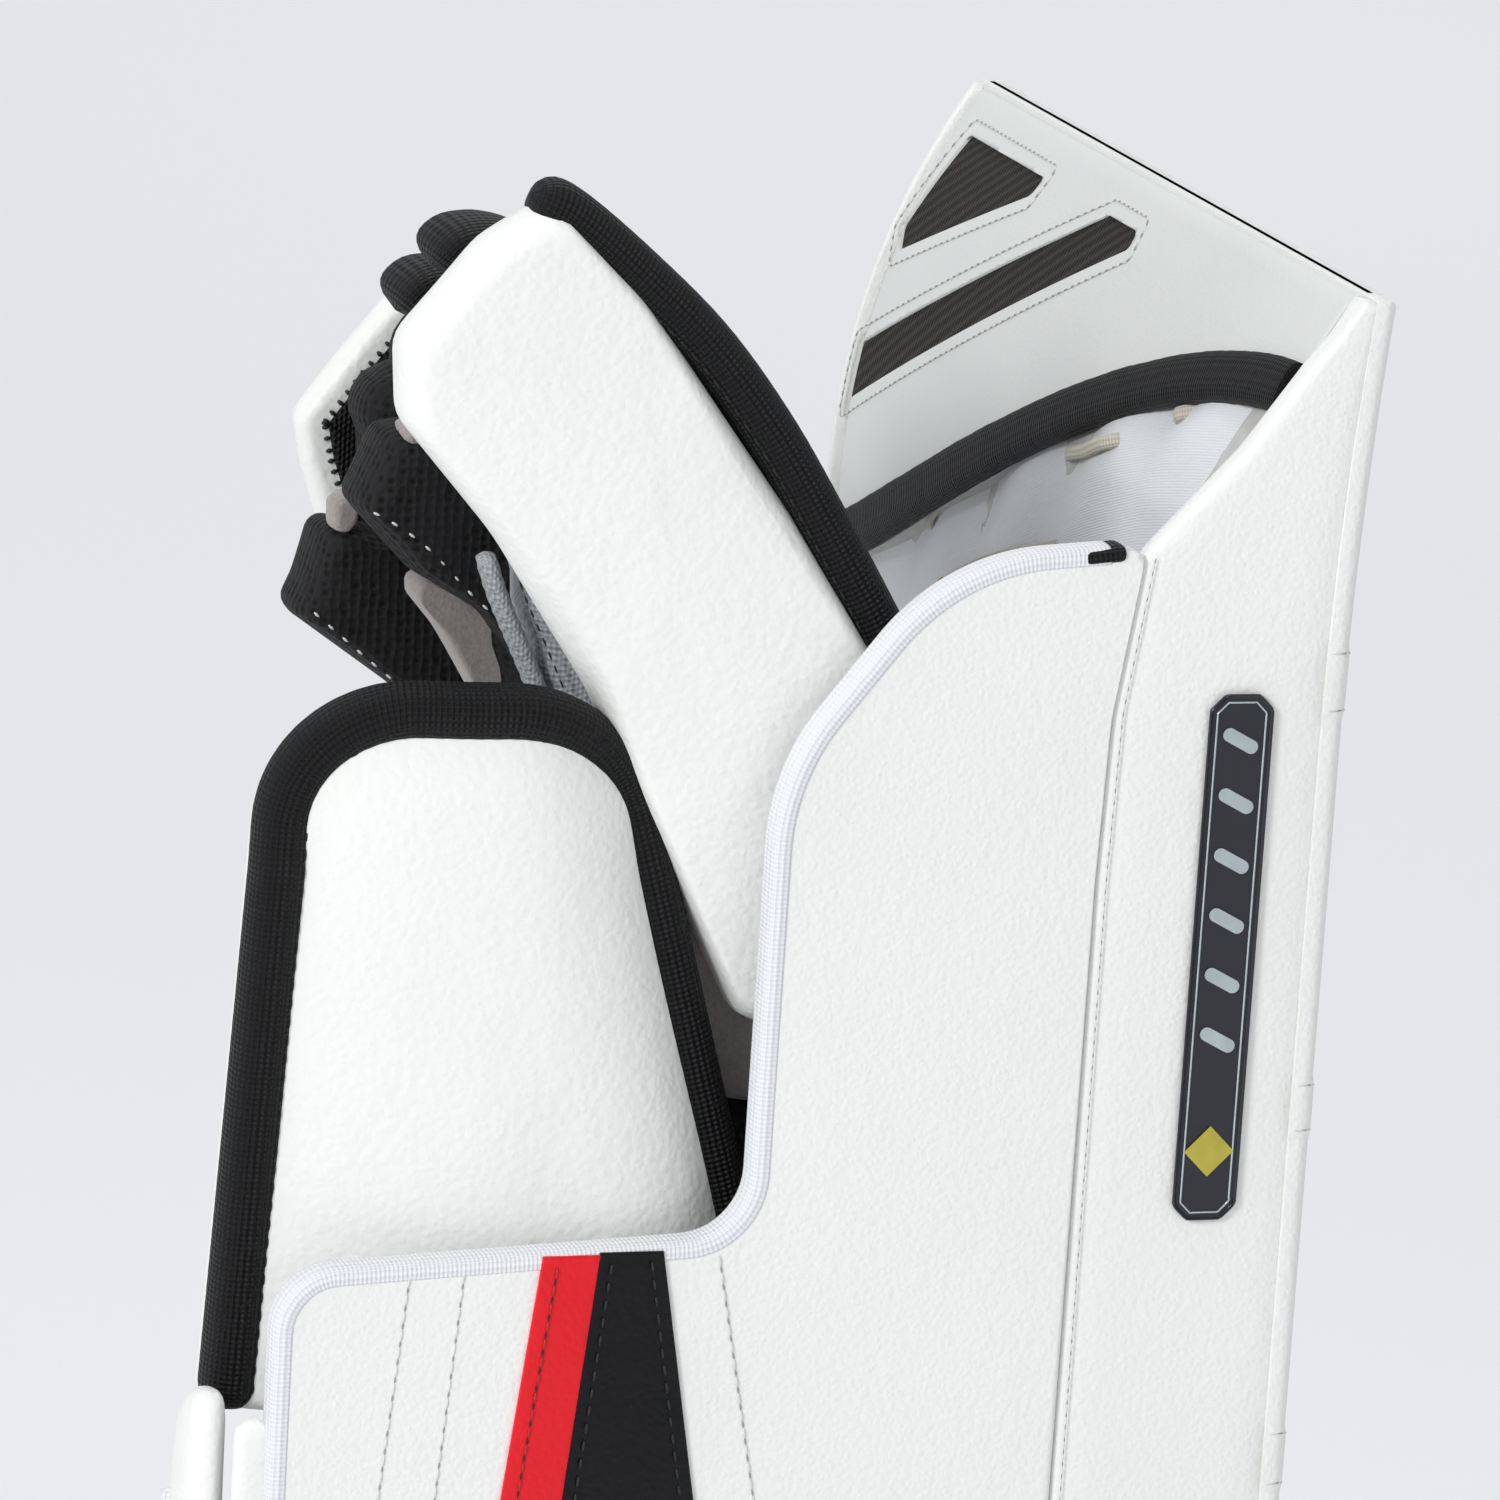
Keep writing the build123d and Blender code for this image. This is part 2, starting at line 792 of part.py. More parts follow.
with BuildPart() as index_guard_foam:
    with BuildSketch(Plane.YZ.offset(index_guard_outer + guard_skin)):
        index_guard_face()
        with BuildSketch(mode=Mode.PRIVATE) as roll:
            index_roll_face()
        add(roll.sketch, mode=Mode.SUBTRACT)
    extrude(amount=index_guard_inner - index_guard_outer - guard_skin)
finish(index_guard_foam, "index_guard_foam")

with BuildPart() as index_guard_binding:
    with BuildSketch(Plane.YZ.offset(index_guard_outer - roll_rise)):
        index_roll_face()
    extrude(amount=index_guard_inner - index_guard_outer + roll_rise)
finish(index_guard_binding, "index_guard_binding")

# ---- Thumb ----

with BuildPart() as thumb_stall:
    with BuildSketch(Plane.XZ.offset(-thumb_centre_y - thumb_width / 2)):
        with Locations((thumb_hinge_x, thumb_hinge_z)):
            Circle(thumb_base_radius)
        with Locations(thumb_tip):
            Circle(thumb_tip_radius)
        make_hull()
    extrude(amount=thumb_width)
    with BuildSketch(Plane.XZ.offset(-thumb_centre_y - thumb_width / 2 + finger_wall)):
        with Locations((thumb_hinge_x, thumb_hinge_z)):
            Circle(thumb_base_radius - finger_wall)
        with Locations(thumb_tip):
            Circle(thumb_tip_radius - finger_wall)
        make_hull()
    extrude(amount=thumb_width - 2 * finger_wall, mode=Mode.SUBTRACT)
    with BuildSketch(Plane.XY.offset(thumb_hinge_z - thumb_base_radius)):
        with Locations((thumb_hinge_x, thumb_centre_y)):
            Rectangle(far, far)
    extrude(amount=thumb_base_radius / 2, mode=Mode.SUBTRACT)
finish(thumb_stall, "thumb_stall")


def thumb_guard_outline(inset):
    # The guard's arch in side view, its foot tucked into the cuff.
    with BuildLine() as outline:
        Polyline(
            (thumb_guard_back, thumb_guard_bottom - guard_tuck),
            (thumb_guard_back, thumb_guard_top),
            (thumb_guard_back - thumb_guard_flat, thumb_guard_top),
            (thumb_guard_front, thumb_guard_top - thumb_guard_waist),
            (thumb_guard_front, thumb_guard_bottom - guard_tuck),
            close=True,
        )
    make_face(outline.edges())
    fillet(vertices().group_by(Axis.Y)[-1], radius=thumb_guard_crown_radius)
    waist = (thumb_guard_front, thumb_guard_top - thumb_guard_waist)
    fillet(vertices().sort_by_distance(waist)[0], radius=thumb_guard_waist_radius)
    if inset:
        offset(amount=-inset)


def thumb_guard_layer(outer, inner, inset):
    # A bowed layer of the guard, between two depths under its outer face.
    with BuildSketch(Plane.XY.offset(thumb_guard_bottom)) as bow:
        for depth, step in ((outer, Mode.ADD), (inner, Mode.SUBTRACT)):
            with BuildLine():
                ThreePointArc(
                    (thumb_guard_edge + depth, bow_centre_y - bow_half),
                    (thumb_guard_crest + depth, bow_centre_y),
                    (thumb_guard_edge + depth, bow_centre_y + bow_half),
                )
                Polyline(
                    (thumb_guard_edge + depth, bow_centre_y - bow_half),
                    (0, 84),
                    (0, 190),
                    (thumb_guard_edge + depth, bow_centre_y + bow_half),
                )
            make_face(mode=step)
    extrude(bow.sketch, amount=thumb_guard_top + guard_tuck - thumb_guard_bottom)
    with BuildSketch(Plane.YZ.offset(-far)) as arch:
        thumb_guard_outline(inset)
    extrude(arch.sketch, amount=2 * far, mode=Mode.INTERSECT)


with BuildPart() as thumb_guard_shell:
    thumb_guard_layer(0, guard_skin, roll_width)
finish(thumb_guard_shell, "thumb_guard_shell")

with BuildPart() as thumb_guard_foam:
    thumb_guard_layer(guard_skin, thumb_guard_thick, roll_width)
finish(thumb_guard_foam, "thumb_guard_foam")

with BuildPart() as thumb_guard_binding:
    thumb_guard_layer(-roll_rise, thumb_guard_thick, 0)
    with BuildSketch(Plane.YZ.offset(-far)):
        thumb_guard_outline(roll_width)
    extrude(amount=2 * far, mode=Mode.SUBTRACT)
finish(thumb_guard_binding, "thumb_guard_binding")

# ---- Wrist strap ----

strap_y = palm_y + patch_thick + fit_gap
strap_hinge_x = glove_left + glove_width - strap_hinge_inset

with BuildPart() as strap_loop_patch:
    with BuildSketch(Plane.XZ.offset(-palm_y - patch_thick)):
        with Locations((strap_hinge_x - strap_length + 2, strap_bottom)):
            Rectangle(patch_width, strap_height, align=(Align.MIN, Align.MIN))
    extrude(amount=patch_thick)
finish(strap_loop_patch, "strap_loop_patch")

with BuildPart() as strap_anchor:
    with BuildSketch(Plane.XZ.offset(-palm_y - patch_thick)):
        with Locations((strap_hinge_x - anchor_width / 2, strap_bottom)):
            Rectangle(anchor_width, strap_height, align=(Align.MIN, Align.MIN))
    extrude(amount=patch_thick)
finish(strap_anchor, "strap_anchor")

with BuildPart() as wrist_strap:
    with BuildSketch(Plane.XY.offset(strap_bottom)):
        with BuildLine():
            Line((strap_hinge_x, strap_y), (strap_hinge_x - strap_length, strap_y))
            Line(
                (strap_hinge_x, strap_y + strap_thick),
                (strap_hinge_x - strap_length, strap_y + strap_thick),
            )
            ThreePointArc(
                (strap_hinge_x, strap_y),
                (strap_hinge_x + strap_thick / 2, strap_y + strap_thick / 2),
                (strap_hinge_x, strap_y + strap_thick),
            )
            Line(
                (strap_hinge_x - strap_length, strap_y),
                (strap_hinge_x - strap_length, strap_y + strap_thick),
            )
        make_face()
    extrude(amount=strap_height)
finish(wrist_strap, "wrist_strap")

# ---- Palm flap of the cuff ----


def flap_face(inset):
    # The flap seen from the palm: a tall lip by the hinge, then a lower, sloping top edge.
    with BuildLine() as outline:
        Polyline(
            (flap_hinge_x, flap_bottom),
            (flap_hinge_x, flap_top),
            (flap_hinge_x + flap_lip, flap_top),
            (flap_hinge_x + flap_lip + flap_lean, flap_top - flap_notch),
            (flap_hinge_x + flap_reach, flap_top - flap_notch - flap_fall),
            (flap_hinge_x + flap_reach, flap_bottom),
            close=True,
        )
    face = make_face(outline.edges(), mode=Mode.PRIVATE)
    add(offset(face, amount=-inset, kind=Kind.INTERSECTION, mode=Mode.PRIVATE) if inset else face)
    fillet(vertices(), radius=flap_corner - inset)


def flap_layer(low, high, inset):
    # A layer of the flap between two depths.
    with BuildSketch(Plane.XZ.offset(-flap_y + flap_thick / 2 - high)) as layer:
        flap_face(inset)
    extrude(layer.sketch, amount=high - low)


with BuildPart() as palm_flap_foam:
    flap_layer(0, flap_thick - guard_skin, edge_binding)
finish(palm_flap_foam, "palm_flap_foam")

with BuildPart() as palm_flap_cover:
    flap_layer(flap_thick - guard_skin, flap_thick, edge_binding)
finish(palm_flap_cover, "palm_flap_cover")

with BuildPart() as palm_flap_binding:
    flap_layer(0, flap_thick, 0)
    with BuildSketch(Plane.XZ.offset(-flap_y - flap_thick)) as middle:
        flap_face(edge_binding)
    extrude(middle.sketch, amount=2 * flap_thick, mode=Mode.SUBTRACT)
finish(palm_flap_binding, "palm_flap_binding")
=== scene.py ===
from math import atan2, ceil, cos, pi, radians, sin, sqrt, tan

import bmesh
import bpy
from mathutils import Matrix, Quaternion, Vector, noise


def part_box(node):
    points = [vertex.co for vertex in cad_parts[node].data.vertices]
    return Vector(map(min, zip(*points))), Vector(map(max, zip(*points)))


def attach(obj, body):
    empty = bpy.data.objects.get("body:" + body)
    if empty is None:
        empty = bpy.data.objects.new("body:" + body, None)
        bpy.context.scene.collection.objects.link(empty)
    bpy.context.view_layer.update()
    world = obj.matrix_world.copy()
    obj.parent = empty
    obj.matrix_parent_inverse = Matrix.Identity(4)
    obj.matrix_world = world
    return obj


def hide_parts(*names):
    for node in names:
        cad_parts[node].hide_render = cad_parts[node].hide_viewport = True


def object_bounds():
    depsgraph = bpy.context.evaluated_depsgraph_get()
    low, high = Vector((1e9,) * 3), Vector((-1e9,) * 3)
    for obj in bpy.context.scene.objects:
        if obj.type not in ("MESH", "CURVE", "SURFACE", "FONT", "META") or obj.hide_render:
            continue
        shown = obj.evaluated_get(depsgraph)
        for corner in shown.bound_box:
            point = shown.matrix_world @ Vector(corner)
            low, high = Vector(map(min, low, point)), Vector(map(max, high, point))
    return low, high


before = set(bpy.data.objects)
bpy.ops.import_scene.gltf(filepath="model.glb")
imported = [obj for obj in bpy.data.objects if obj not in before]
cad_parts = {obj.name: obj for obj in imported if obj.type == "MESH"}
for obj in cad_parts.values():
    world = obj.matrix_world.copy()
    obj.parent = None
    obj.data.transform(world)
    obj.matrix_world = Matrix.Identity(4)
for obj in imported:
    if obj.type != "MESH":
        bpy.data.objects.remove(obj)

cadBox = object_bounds()
mm = 0.001

# The frame is in metres; the pieces below are drawn in millimetres in the same frame:
# z runs up the board, y out of the palm, and x towards the little finger.


def boxMm(node):
    low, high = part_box(node)
    return [c / mm for c in low], [c / mm for c in high]


boardLow, boardHigh = boxMm("front_cover")
boardTop = boardHigh[2]
wallLow, wallHigh = boxMm("thumb_side_wall")
outerX = wallLow[0]  # outside of the thumb wall and of the side shield
innerX = wallHigh[0]
panelLow, panelHigh = boxMm("end_panel")


# Finishes.

def newMaterial(name):
    material = bpy.data.materials.new(name)
    material.use_nodes = True
    nodes = material.node_tree.nodes
    return material, nodes, material.node_tree.links, nodes["Principled BSDF"]


def coordinates(nodes, links, useUv, turn=0):
    source = nodes.new("ShaderNodeTexCoord")
    mapping = nodes.new("ShaderNodeMapping")
    mapping.inputs["Rotation"].default_value = (0, 0, turn)
    links.new(source.outputs["UV" if useUv else "Object"], mapping.inputs["Vector"])
    return mapping.outputs["Vector"]


def mathNode(nodes, links, operation, first, second):
    node = nodes.new("ShaderNodeMath")
    node.operation = operation
    for socket, value in zip(node.inputs, (first, second)):
        if isinstance(value, (int, float)):
            socket.default_value = value
        elif value is not None:
            links.new(value, socket)
    return node.outputs[0]


def noiseNode(nodes, links, vector, scale, detail=3.0, rough=0.5):
    node = nodes.new("ShaderNodeTexNoise")
    node.inputs["Scale"].default_value = scale
    node.inputs["Detail"].default_value = detail
    node.inputs["Roughness"].default_value = rough
    links.new(vector, node.inputs["Vector"])
    return node.outputs["Fac"]


def rampNode(nodes, links, factor, low, high, lowColor, highColor):
    node = nodes.new("ShaderNodeValToRGB")
    node.color_ramp.elements[0].position = low
    node.color_ramp.elements[1].position = high
    node.color_ramp.elements[0].color = (*lowColor, 1)
    node.color_ramp.elements[1].color = (*highColor, 1)
    links.new(factor, node.inputs["Fac"])
    return node.outputs["Color"]


def bumpNode(nodes, links, height, strength, distance, under=None):
    node = nodes.new("ShaderNodeBump")
    node.inputs["Strength"].default_value = strength
    node.inputs["Distance"].default_value = distance
    links.new(height, node.inputs["Height"])
    if under is not None:
        links.new(under, node.inputs["Normal"])
    return node.outputs["Normal"]


def leather(name, light, dark, grain=950.0, depth=0.5, shine=(0.42, 0.56), softness=0.35, gloss=0.42):
    # Coated leather: pebbled cells broken by fine creases, with soft uneven shine.
    material, nodes, links, shader = newMaterial(name)
    place = coordinates(nodes, links, False)
    patches = noiseNode(nodes, links, place, 18, 4)
    links.new(rampNode(nodes, links, patches, 0.3, 0.7, dark, light), shader.inputs["Base Color"])
    cells = nodes.new("ShaderNodeTexVoronoi")
    cells.feature = "SMOOTH_F1"
    cells.inputs["Scale"].default_value = grain
    cells.inputs["Smoothness"].default_value = 0.6
    warp = nodes.new("ShaderNodeVectorMath")
    warp.operation = "ADD"
    wander = nodes.new("ShaderNodeTexNoise")
    wander.inputs["Scale"].default_value = 260
    links.new(place, wander.inputs["Vector"])
    small = nodes.new("ShaderNodeVectorMath")
    small.operation = "SCALE"
    small.inputs["Scale"].default_value = 0.0012
    links.new(wander.outputs["Color"], small.inputs[0])
    links.new(place, warp.inputs[0])
    links.new(small.outputs[0], warp.inputs[1])
    links.new(warp.outputs[0], cells.inputs["Vector"])
    creases = noiseNode(nodes, links, place, grain * 0.45, 5, 0.65)
    height = mathNode(
        nodes, links, "ADD", mathNode(nodes, links, "MULTIPLY", cells.outputs["Distance"], -0.8), creases,
    )
    broad = bumpNode(nodes, links, noiseNode(nodes, links, place, 42, 2), softness, 0.0011)
    links.new(bumpNode(nodes, links, height, depth, 0.00022, broad), shader.inputs["Normal"])
    spots = mathNode(nodes, links, "ADD", patches, mathNode(nodes, links, "MULTIPLY", creases, 0.5))
    rough = nodes.new("ShaderNodeMapRange")
    rough.inputs["From Min"].default_value = 0.4
    rough.inputs["From Max"].default_value = 1.0
    rough.inputs["To Min"].default_value = shine[0]
    rough.inputs["To Max"].default_value = shine[1]
    links.new(spots, rough.inputs["Value"])
    links.new(rough.outputs["Result"], shader.inputs["Roughness"])
    shader.inputs["Specular IOR Level"].default_value = gloss
    return material


def weave(name, light, dark, pitch, depth=0.8, roughness=0.72, sheen=0.15, useUv=True):
    # Woven tape or cloth: two crossing sets of threads, each one rounded.
    material, nodes, links, shader = newMaterial(name)
    place = coordinates(nodes, links, useUv, radians(45))
    parts = nodes.new("ShaderNodeSeparateXYZ")
    links.new(place, parts.inputs[0])
    turns = 2 * pi / pitch
    first = mathNode(
        nodes, links, "SINE", mathNode(nodes, links, "MULTIPLY", parts.outputs[0], turns), None,
    )
    second = mathNode(
        nodes, links, "SINE", mathNode(nodes, links, "MULTIPLY", parts.outputs[1], turns), None,
    )
    lattice = mathNode(nodes, links, "MULTIPLY", first, second)
    if not useUv:
        third = mathNode(
            nodes, links, "SINE", mathNode(nodes, links, "MULTIPLY", parts.outputs[2], turns), None,
        )
        lattice = mathNode(nodes, links, "ADD", lattice, mathNode(nodes, links, "MULTIPLY", first, third))
    fuzz = noiseNode(nodes, links, coordinates(nodes, links, False), 1600, 3)
    height = mathNode(nodes, links, "ADD", lattice, mathNode(nodes, links, "MULTIPLY", fuzz, 0.8))
    # The base colour follows the thread lattice: painted shade where the threads dip, lighter where they rise.
    shade = mathNode(nodes, links, "MULTIPLY_ADD", lattice, 0.35)
    shade.node.inputs[2].default_value = 0.5
    links.new(rampNode(nodes, links, shade, 0.2, 0.85, dark, light), shader.inputs["Base Color"])
    links.new(bumpNode(nodes, links, height, depth, pitch * 0.22), shader.inputs["Normal"])
    shader.inputs["Roughness"].default_value = roughness
    shader.inputs["Sheen Weight"].default_value = sheen
    shader.inputs["Sheen Roughness"].default_value = 0.4
    shader.inputs["Specular IOR Level"].default_value = 0.25
    return material


def openMesh(name, light, dark, pitch):
    # Spacer mesh: rows of round holes between ribs.
    material, nodes, links, shader = newMaterial(name)
    place = coordinates(nodes, links, False)
    holes = nodes.new("ShaderNodeTexVoronoi")
    holes.inputs["Scale"].default_value = 1 / pitch
    holes.inputs["Randomness"].default_value = 0.25
    links.new(place, holes.inputs["Vector"])
    # The holes are painted darker as the shade inside them, the ribs lighter.
    links.new(
        rampNode(nodes, links, holes.outputs["Distance"], 0.22, 0.42, dark, light),
        shader.inputs["Base Color"],
    )
    links.new(bumpNode(nodes, links, holes.outputs["Distance"], 0.9, pitch * 0.5), shader.inputs["Normal"])
    shader.inputs["Roughness"].default_value = 0.75
    shader.inputs["Sheen Weight"].default_value = 0.03
    shader.inputs["Specular IOR Level"].default_value = 0.2
    return material


def suede(name, light, dark):
    material, nodes, links, shader = newMaterial(name)
    place = coordinates(nodes, links, False)
    nap = noiseNode(nodes, links, place, 1300, 5, 0.7)
    links.new(rampNode(nodes, links, nap, 0.35, 0.68, dark, light), shader.inputs["Base Color"])
    links.new(bumpNode(nodes, links, nap, 0.6, 0.0005), shader.inputs["Normal"])
    shader.inputs["Roughness"].default_value = 0.95
    shader.inputs["Sheen Weight"].default_value = 0.5
    shader.inputs["Sheen Roughness"].default_value = 0.5
    return material


def ribbedMesh(name, light, dark, pitch):
    # Coated vent mesh: fine ribs crossed by a slower twill.
    material, nodes, links, shader = newMaterial(name)
    place = coordinates(nodes, links, False)
    parts = nodes.new("ShaderNodeSeparateXYZ")
    links.new(place, parts.inputs[0])
    ribs = mathNode(
        nodes, links, "SINE", mathNode(nodes, links, "MULTIPLY", parts.outputs[0], 2 * pi / pitch), None,
    )
    slant = mathNode(
        nodes, links, "ADD", mathNode(nodes, links, "MULTIPLY", parts.outputs[0], 0.7), parts.outputs[2],
    )
    twill = mathNode(
        nodes, links, "SINE", mathNode(nodes, links, "MULTIPLY", slant, 2 * pi / (pitch * 2.6)), None,
    )
    height = mathNode(nodes, links, "ADD", ribs, mathNode(nodes, links, "MULTIPLY", twill, 0.9))
    # The base colour follows the rib height: painted shade in the grooves, lighter on the ribs.
    shade = mathNode(nodes, links, "MULTIPLY_ADD", height, 0.25)
    shade.node.inputs[2].default_value = 0.5
    links.new(rampNode(nodes, links, shade, 0.25, 0.9, dark, light), shader.inputs["Base Color"])
    links.new(bumpNode(nodes, links, height, 0.8, 0.0004), shader.inputs["Normal"])
    shader.inputs["Roughness"].default_value = 0.65
    shader.inputs["Specular IOR Level"].default_value = 0.2
    return material


def plain(name, color, roughness, metallic=0.0, grain=300.0, depth=0.15):
    material, nodes, links, shader = newMaterial(name)
    place = coordinates(nodes, links, False)
    speck = noiseNode(nodes, links, place, grain, 4)
    darker = [c * 0.86 for c in color]
    links.new(rampNode(nodes, links, speck, 0.3, 0.7, darker, color), shader.inputs["Base Color"])
    links.new(bumpNode(nodes, links, speck, depth, 0.0003), shader.inputs["Normal"])
    shader.inputs["Roughness"].default_value = roughness
    shader.inputs["Metallic"].default_value = metallic
    return material


finish = {
    "white_leather": leather("white_leather", (0.86, 0.868, 0.845), (0.83, 0.84, 0.815), 950.0, 0.7),
    "guard_leather": leather(
        "guard_leather", (0.86, 0.868, 0.84), (0.83, 0.84, 0.81), 650.0, 0.85, (0.33, 0.46), 0.6,
    ),
    "smooth_leather": leather(
        "smooth_leather", (0.7, 0.715, 0.7), (0.67, 0.685, 0.67), 1500.0, 0.3, (0.44, 0.58), 0.3,
    ),
    "red_leather": leather(
        "red_leather", (0.82, 0.008, 0.018), (0.7, 0.006, 0.014), 800.0, 0.9, (0.3, 0.42), 0.35, 0.3,
    ),
    "black_leather": leather(
        "black_leather", (0.006, 0.006, 0.007), (0.003, 0.003, 0.004), 800.0, 1.0, (0.34, 0.46), 0.35, 0.22,
    ),
    "black_binding": weave(
        "black_binding", (0.009, 0.009, 0.0105), (0.0008, 0.0008, 0.001), 0.0013, 1.0, 0.55, 0.0,
    ),
    "black_lining": weave(
        "black_lining", (0.01, 0.01, 0.012), (0.001, 0.001, 0.0012), 0.0012, 0.8, 0.55, 0.0, False,
    ),
    "white_binding": weave("white_binding", (0.87, 0.88, 0.905), (0.73, 0.74, 0.78), 0.0011, 0.5, 0.8),
    "white_nylon": weave("white_nylon", (0.87, 0.885, 0.91), (0.78, 0.8, 0.84), 0.0007, 0.35, 0.55, 0.1),
    "black_mesh": openMesh("black_mesh", (0.012, 0.012, 0.013), (0.001, 0.001, 0.001), 0.0017),
    "window_mesh": ribbedMesh("window_mesh", (0.07, 0.06, 0.053), (0.012, 0.01, 0.009), 0.0011),
    "grey_suede": suede("grey_suede", (0.33, 0.295, 0.28), (0.24, 0.212, 0.2)),
    "grey_stretch": weave(
        "grey_stretch", (0.44, 0.46, 0.48), (0.25, 0.27, 0.29), 0.0011, 0.5, 0.95, 0.05, False,
    ),
    "foam": plain("foam", (0.62, 0.62, 0.6), 0.9),
    "plastic_plate": plain("plastic_plate", (0.8, 0.8, 0.8), 0.45),
    "lace": weave("lace", (0.72, 0.68, 0.58), (0.5, 0.46, 0.38), 0.0008, 0.6, 0.7),
    "badge_black": plain("badge_black", (0.012, 0.014, 0.022), 0.28),
    "badge_silver": plain("badge_silver", (0.55, 0.62, 0.64), 0.25, 1.0),
    "badge_gold": plain("badge_gold", (0.6, 0.52, 0.1), 0.25, 1.0),
    "hook_loop": plain("hook_loop", (0.02, 0.02, 0.022), 0.95, 0.0, 900.0, 0.9),
}
threadWhite = plain("thread_white", (0.72, 0.73, 0.7), 0.6)
# Black thread; it also gives the painted shadow in the needle holes of the red cuff row.
blackThreadAndHoleShadow = plain("black_thread_and_hole_shadow", (0.012, 0.012, 0.013), 0.55)
# Painted shadow for the needle holes: darker beads set between stitches.
paintedHoleShadow = plain("painted_hole_shadow", (0.36, 0.355, 0.34), 0.9)
threadRed = plain("thread_red", (0.5, 0.012, 0.018), 0.5)
meltedTip = plain("melted_tip", (0.55, 0.3, 0.08), 0.4)
print("finishes made")


# Drawing helpers.

def addPiece(name, bm, material, body, replaces=()):
    mesh = bpy.data.meshes.new(name)
    for face in bm.faces:
        face.smooth = True
    bm.to_mesh(mesh)
    bm.free()
    mesh.materials.append(material)
    piece = bpy.data.objects.new(name, mesh)
    bpy.context.scene.collection.objects.link(piece)
    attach(piece, body)
    if replaces:
        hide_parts(*replaces)
    return piece


def warpGrid(along, across, place, size=(0.1, 0.1), weld=False, facing=None):
    # A grid moved point by point onto a surface; its UV map is in metres.
    bm = bmesh.new()
    uvMap = bm.loops.layers.uv.new("UVMap")
    bmesh.ops.create_grid(bm, x_segments=along, y_segments=across, size=0.5, calc_uvs=True)
    for face in bm.faces:
        for loop in face.loops:
            spot = loop.vert.co
            loop[uvMap].uv = ((spot.x + 0.5) * size[0], (spot.y + 0.5) * size[1])
    for vert in bm.verts:
        vert.co = Vector(place(vert.co.x + 0.5, vert.co.y + 0.5)) * mm
    if weld:
        bmesh.ops.remove_doubles(bm, verts=bm.verts, dist=2e-6)
        bmesh.ops.dissolve_degenerate(bm, edges=bm.edges, dist=1e-7)
    bmesh.ops.recalc_face_normals(bm, faces=bm.faces)
    if facing and sum(
        (face.normal.dot(Vector(facing(face.calc_center_median() / mm))) for face in bm.faces)
    ) < 0:
        bmesh.ops.reverse_faces(bm, faces=bm.faces)
    return bm


def roundedPath(corners, radii, closed=False, step=2.0):
    # Straight runs joined by arcs, sampled evenly.
    corners = [Vector(corner) for corner in corners]
    count = len(corners)
    points = []
    for index, corner in enumerate(corners):
        radius = radii[index]
        if radius == 0 or (not closed and index in (0, count - 1)):
            points.append(corner)
            continue
        toPrevious = (corners[index - 1] - corner).normalized()
        toNext = (corners[(index + 1) % count] - corner).normalized()
        half = toPrevious.angle(toNext) / 2
        reach = radius / tan(half)
        start = corner + toPrevious * reach
        end = corner + toNext * reach
        centre = corner + (toPrevious + toNext).normalized() * (radius / sin(half))
        pieces = max(3, ceil(radius * (pi - 2 * half) / step))
        for piece in range(pieces + 1):
            blend = start.lerp(end, piece / pieces) - centre
            points.append(centre + blend.normalized() * radius)
    if closed:
        points.append(points[0])
    return evenly(points, step)


def evenly(points, step):
    lengths = [0.0]
    for first, second in zip(points, points[1:]):
        lengths.append(lengths[-1] + (second - first).length)
    count = max(2, round(lengths[-1] / step))
    result = []
    index = 0
    for number in range(count + 1):
        target = lengths[-1] * number / count
        while index < len(points) - 2 and lengths[index + 1] < target:
            index += 1
        span = lengths[index + 1] - lengths[index]
        share = 0 if span == 0 else (target - lengths[index]) / span
        result.append(points[index].lerp(points[index + 1], share))
    return result


def smoothPath(points, step=2.0):
    # A smooth curve through a few points (Catmull-Rom), sampled evenly.
    points = [Vector(point) for point in points]
    ends = [points[0] * 2 - points[1]] + points + [points[-1] * 2 - points[-2]]
    dense = []
    for a, b, c, d in zip(ends, ends[1:], ends[2:], ends[3:]):
        for number in range(12):
            t = number / 12
            curve = (2 * b) + (c - a) * t + (2 * a - 5 * b + 4 * c - d) * t * t
            dense.append(0.5 * (curve + (3 * b - a - 3 * c + d) * t ** 3))
    dense.append(points[-1])
    return evenly(dense, step)


def along(path, share):
    spot = min(max(share, 0), 1) * (len(path) - 1)
    index = min(int(spot), len(path) - 2)
    return path[index].lerp(path[index + 1], spot - index)


def pathLength(path):
    return sum((second - first).length for first, second in zip(path, path[1:]))


def insetRing(ring, inset):
    # The same ring drawn smaller, moved in along its own normals.
    count = len(ring) - 1
    turning = sum(
        ring[index].x * ring[index + 1].y - ring[index + 1].x * ring[index].y
        for index in range(count)
    )
    result = []
    for index in range(count):
        ahead = (ring[(index + 1) % count] - ring[index - 1]).normalized()
        inward = Vector((-ahead.y, ahead.x)) if turning > 0 else Vector((ahead.y, -ahead.x))
        result.append(ring[index] + inward * inset)
    return result + [result[0]]


def oval(angle, power):
    c, s = cos(angle), sin(angle)
    return abs(c) ** (2 / power) * (1 if c >= 0 else -1), abs(s) ** (2 / power) * (1 if s >= 0 else -1)


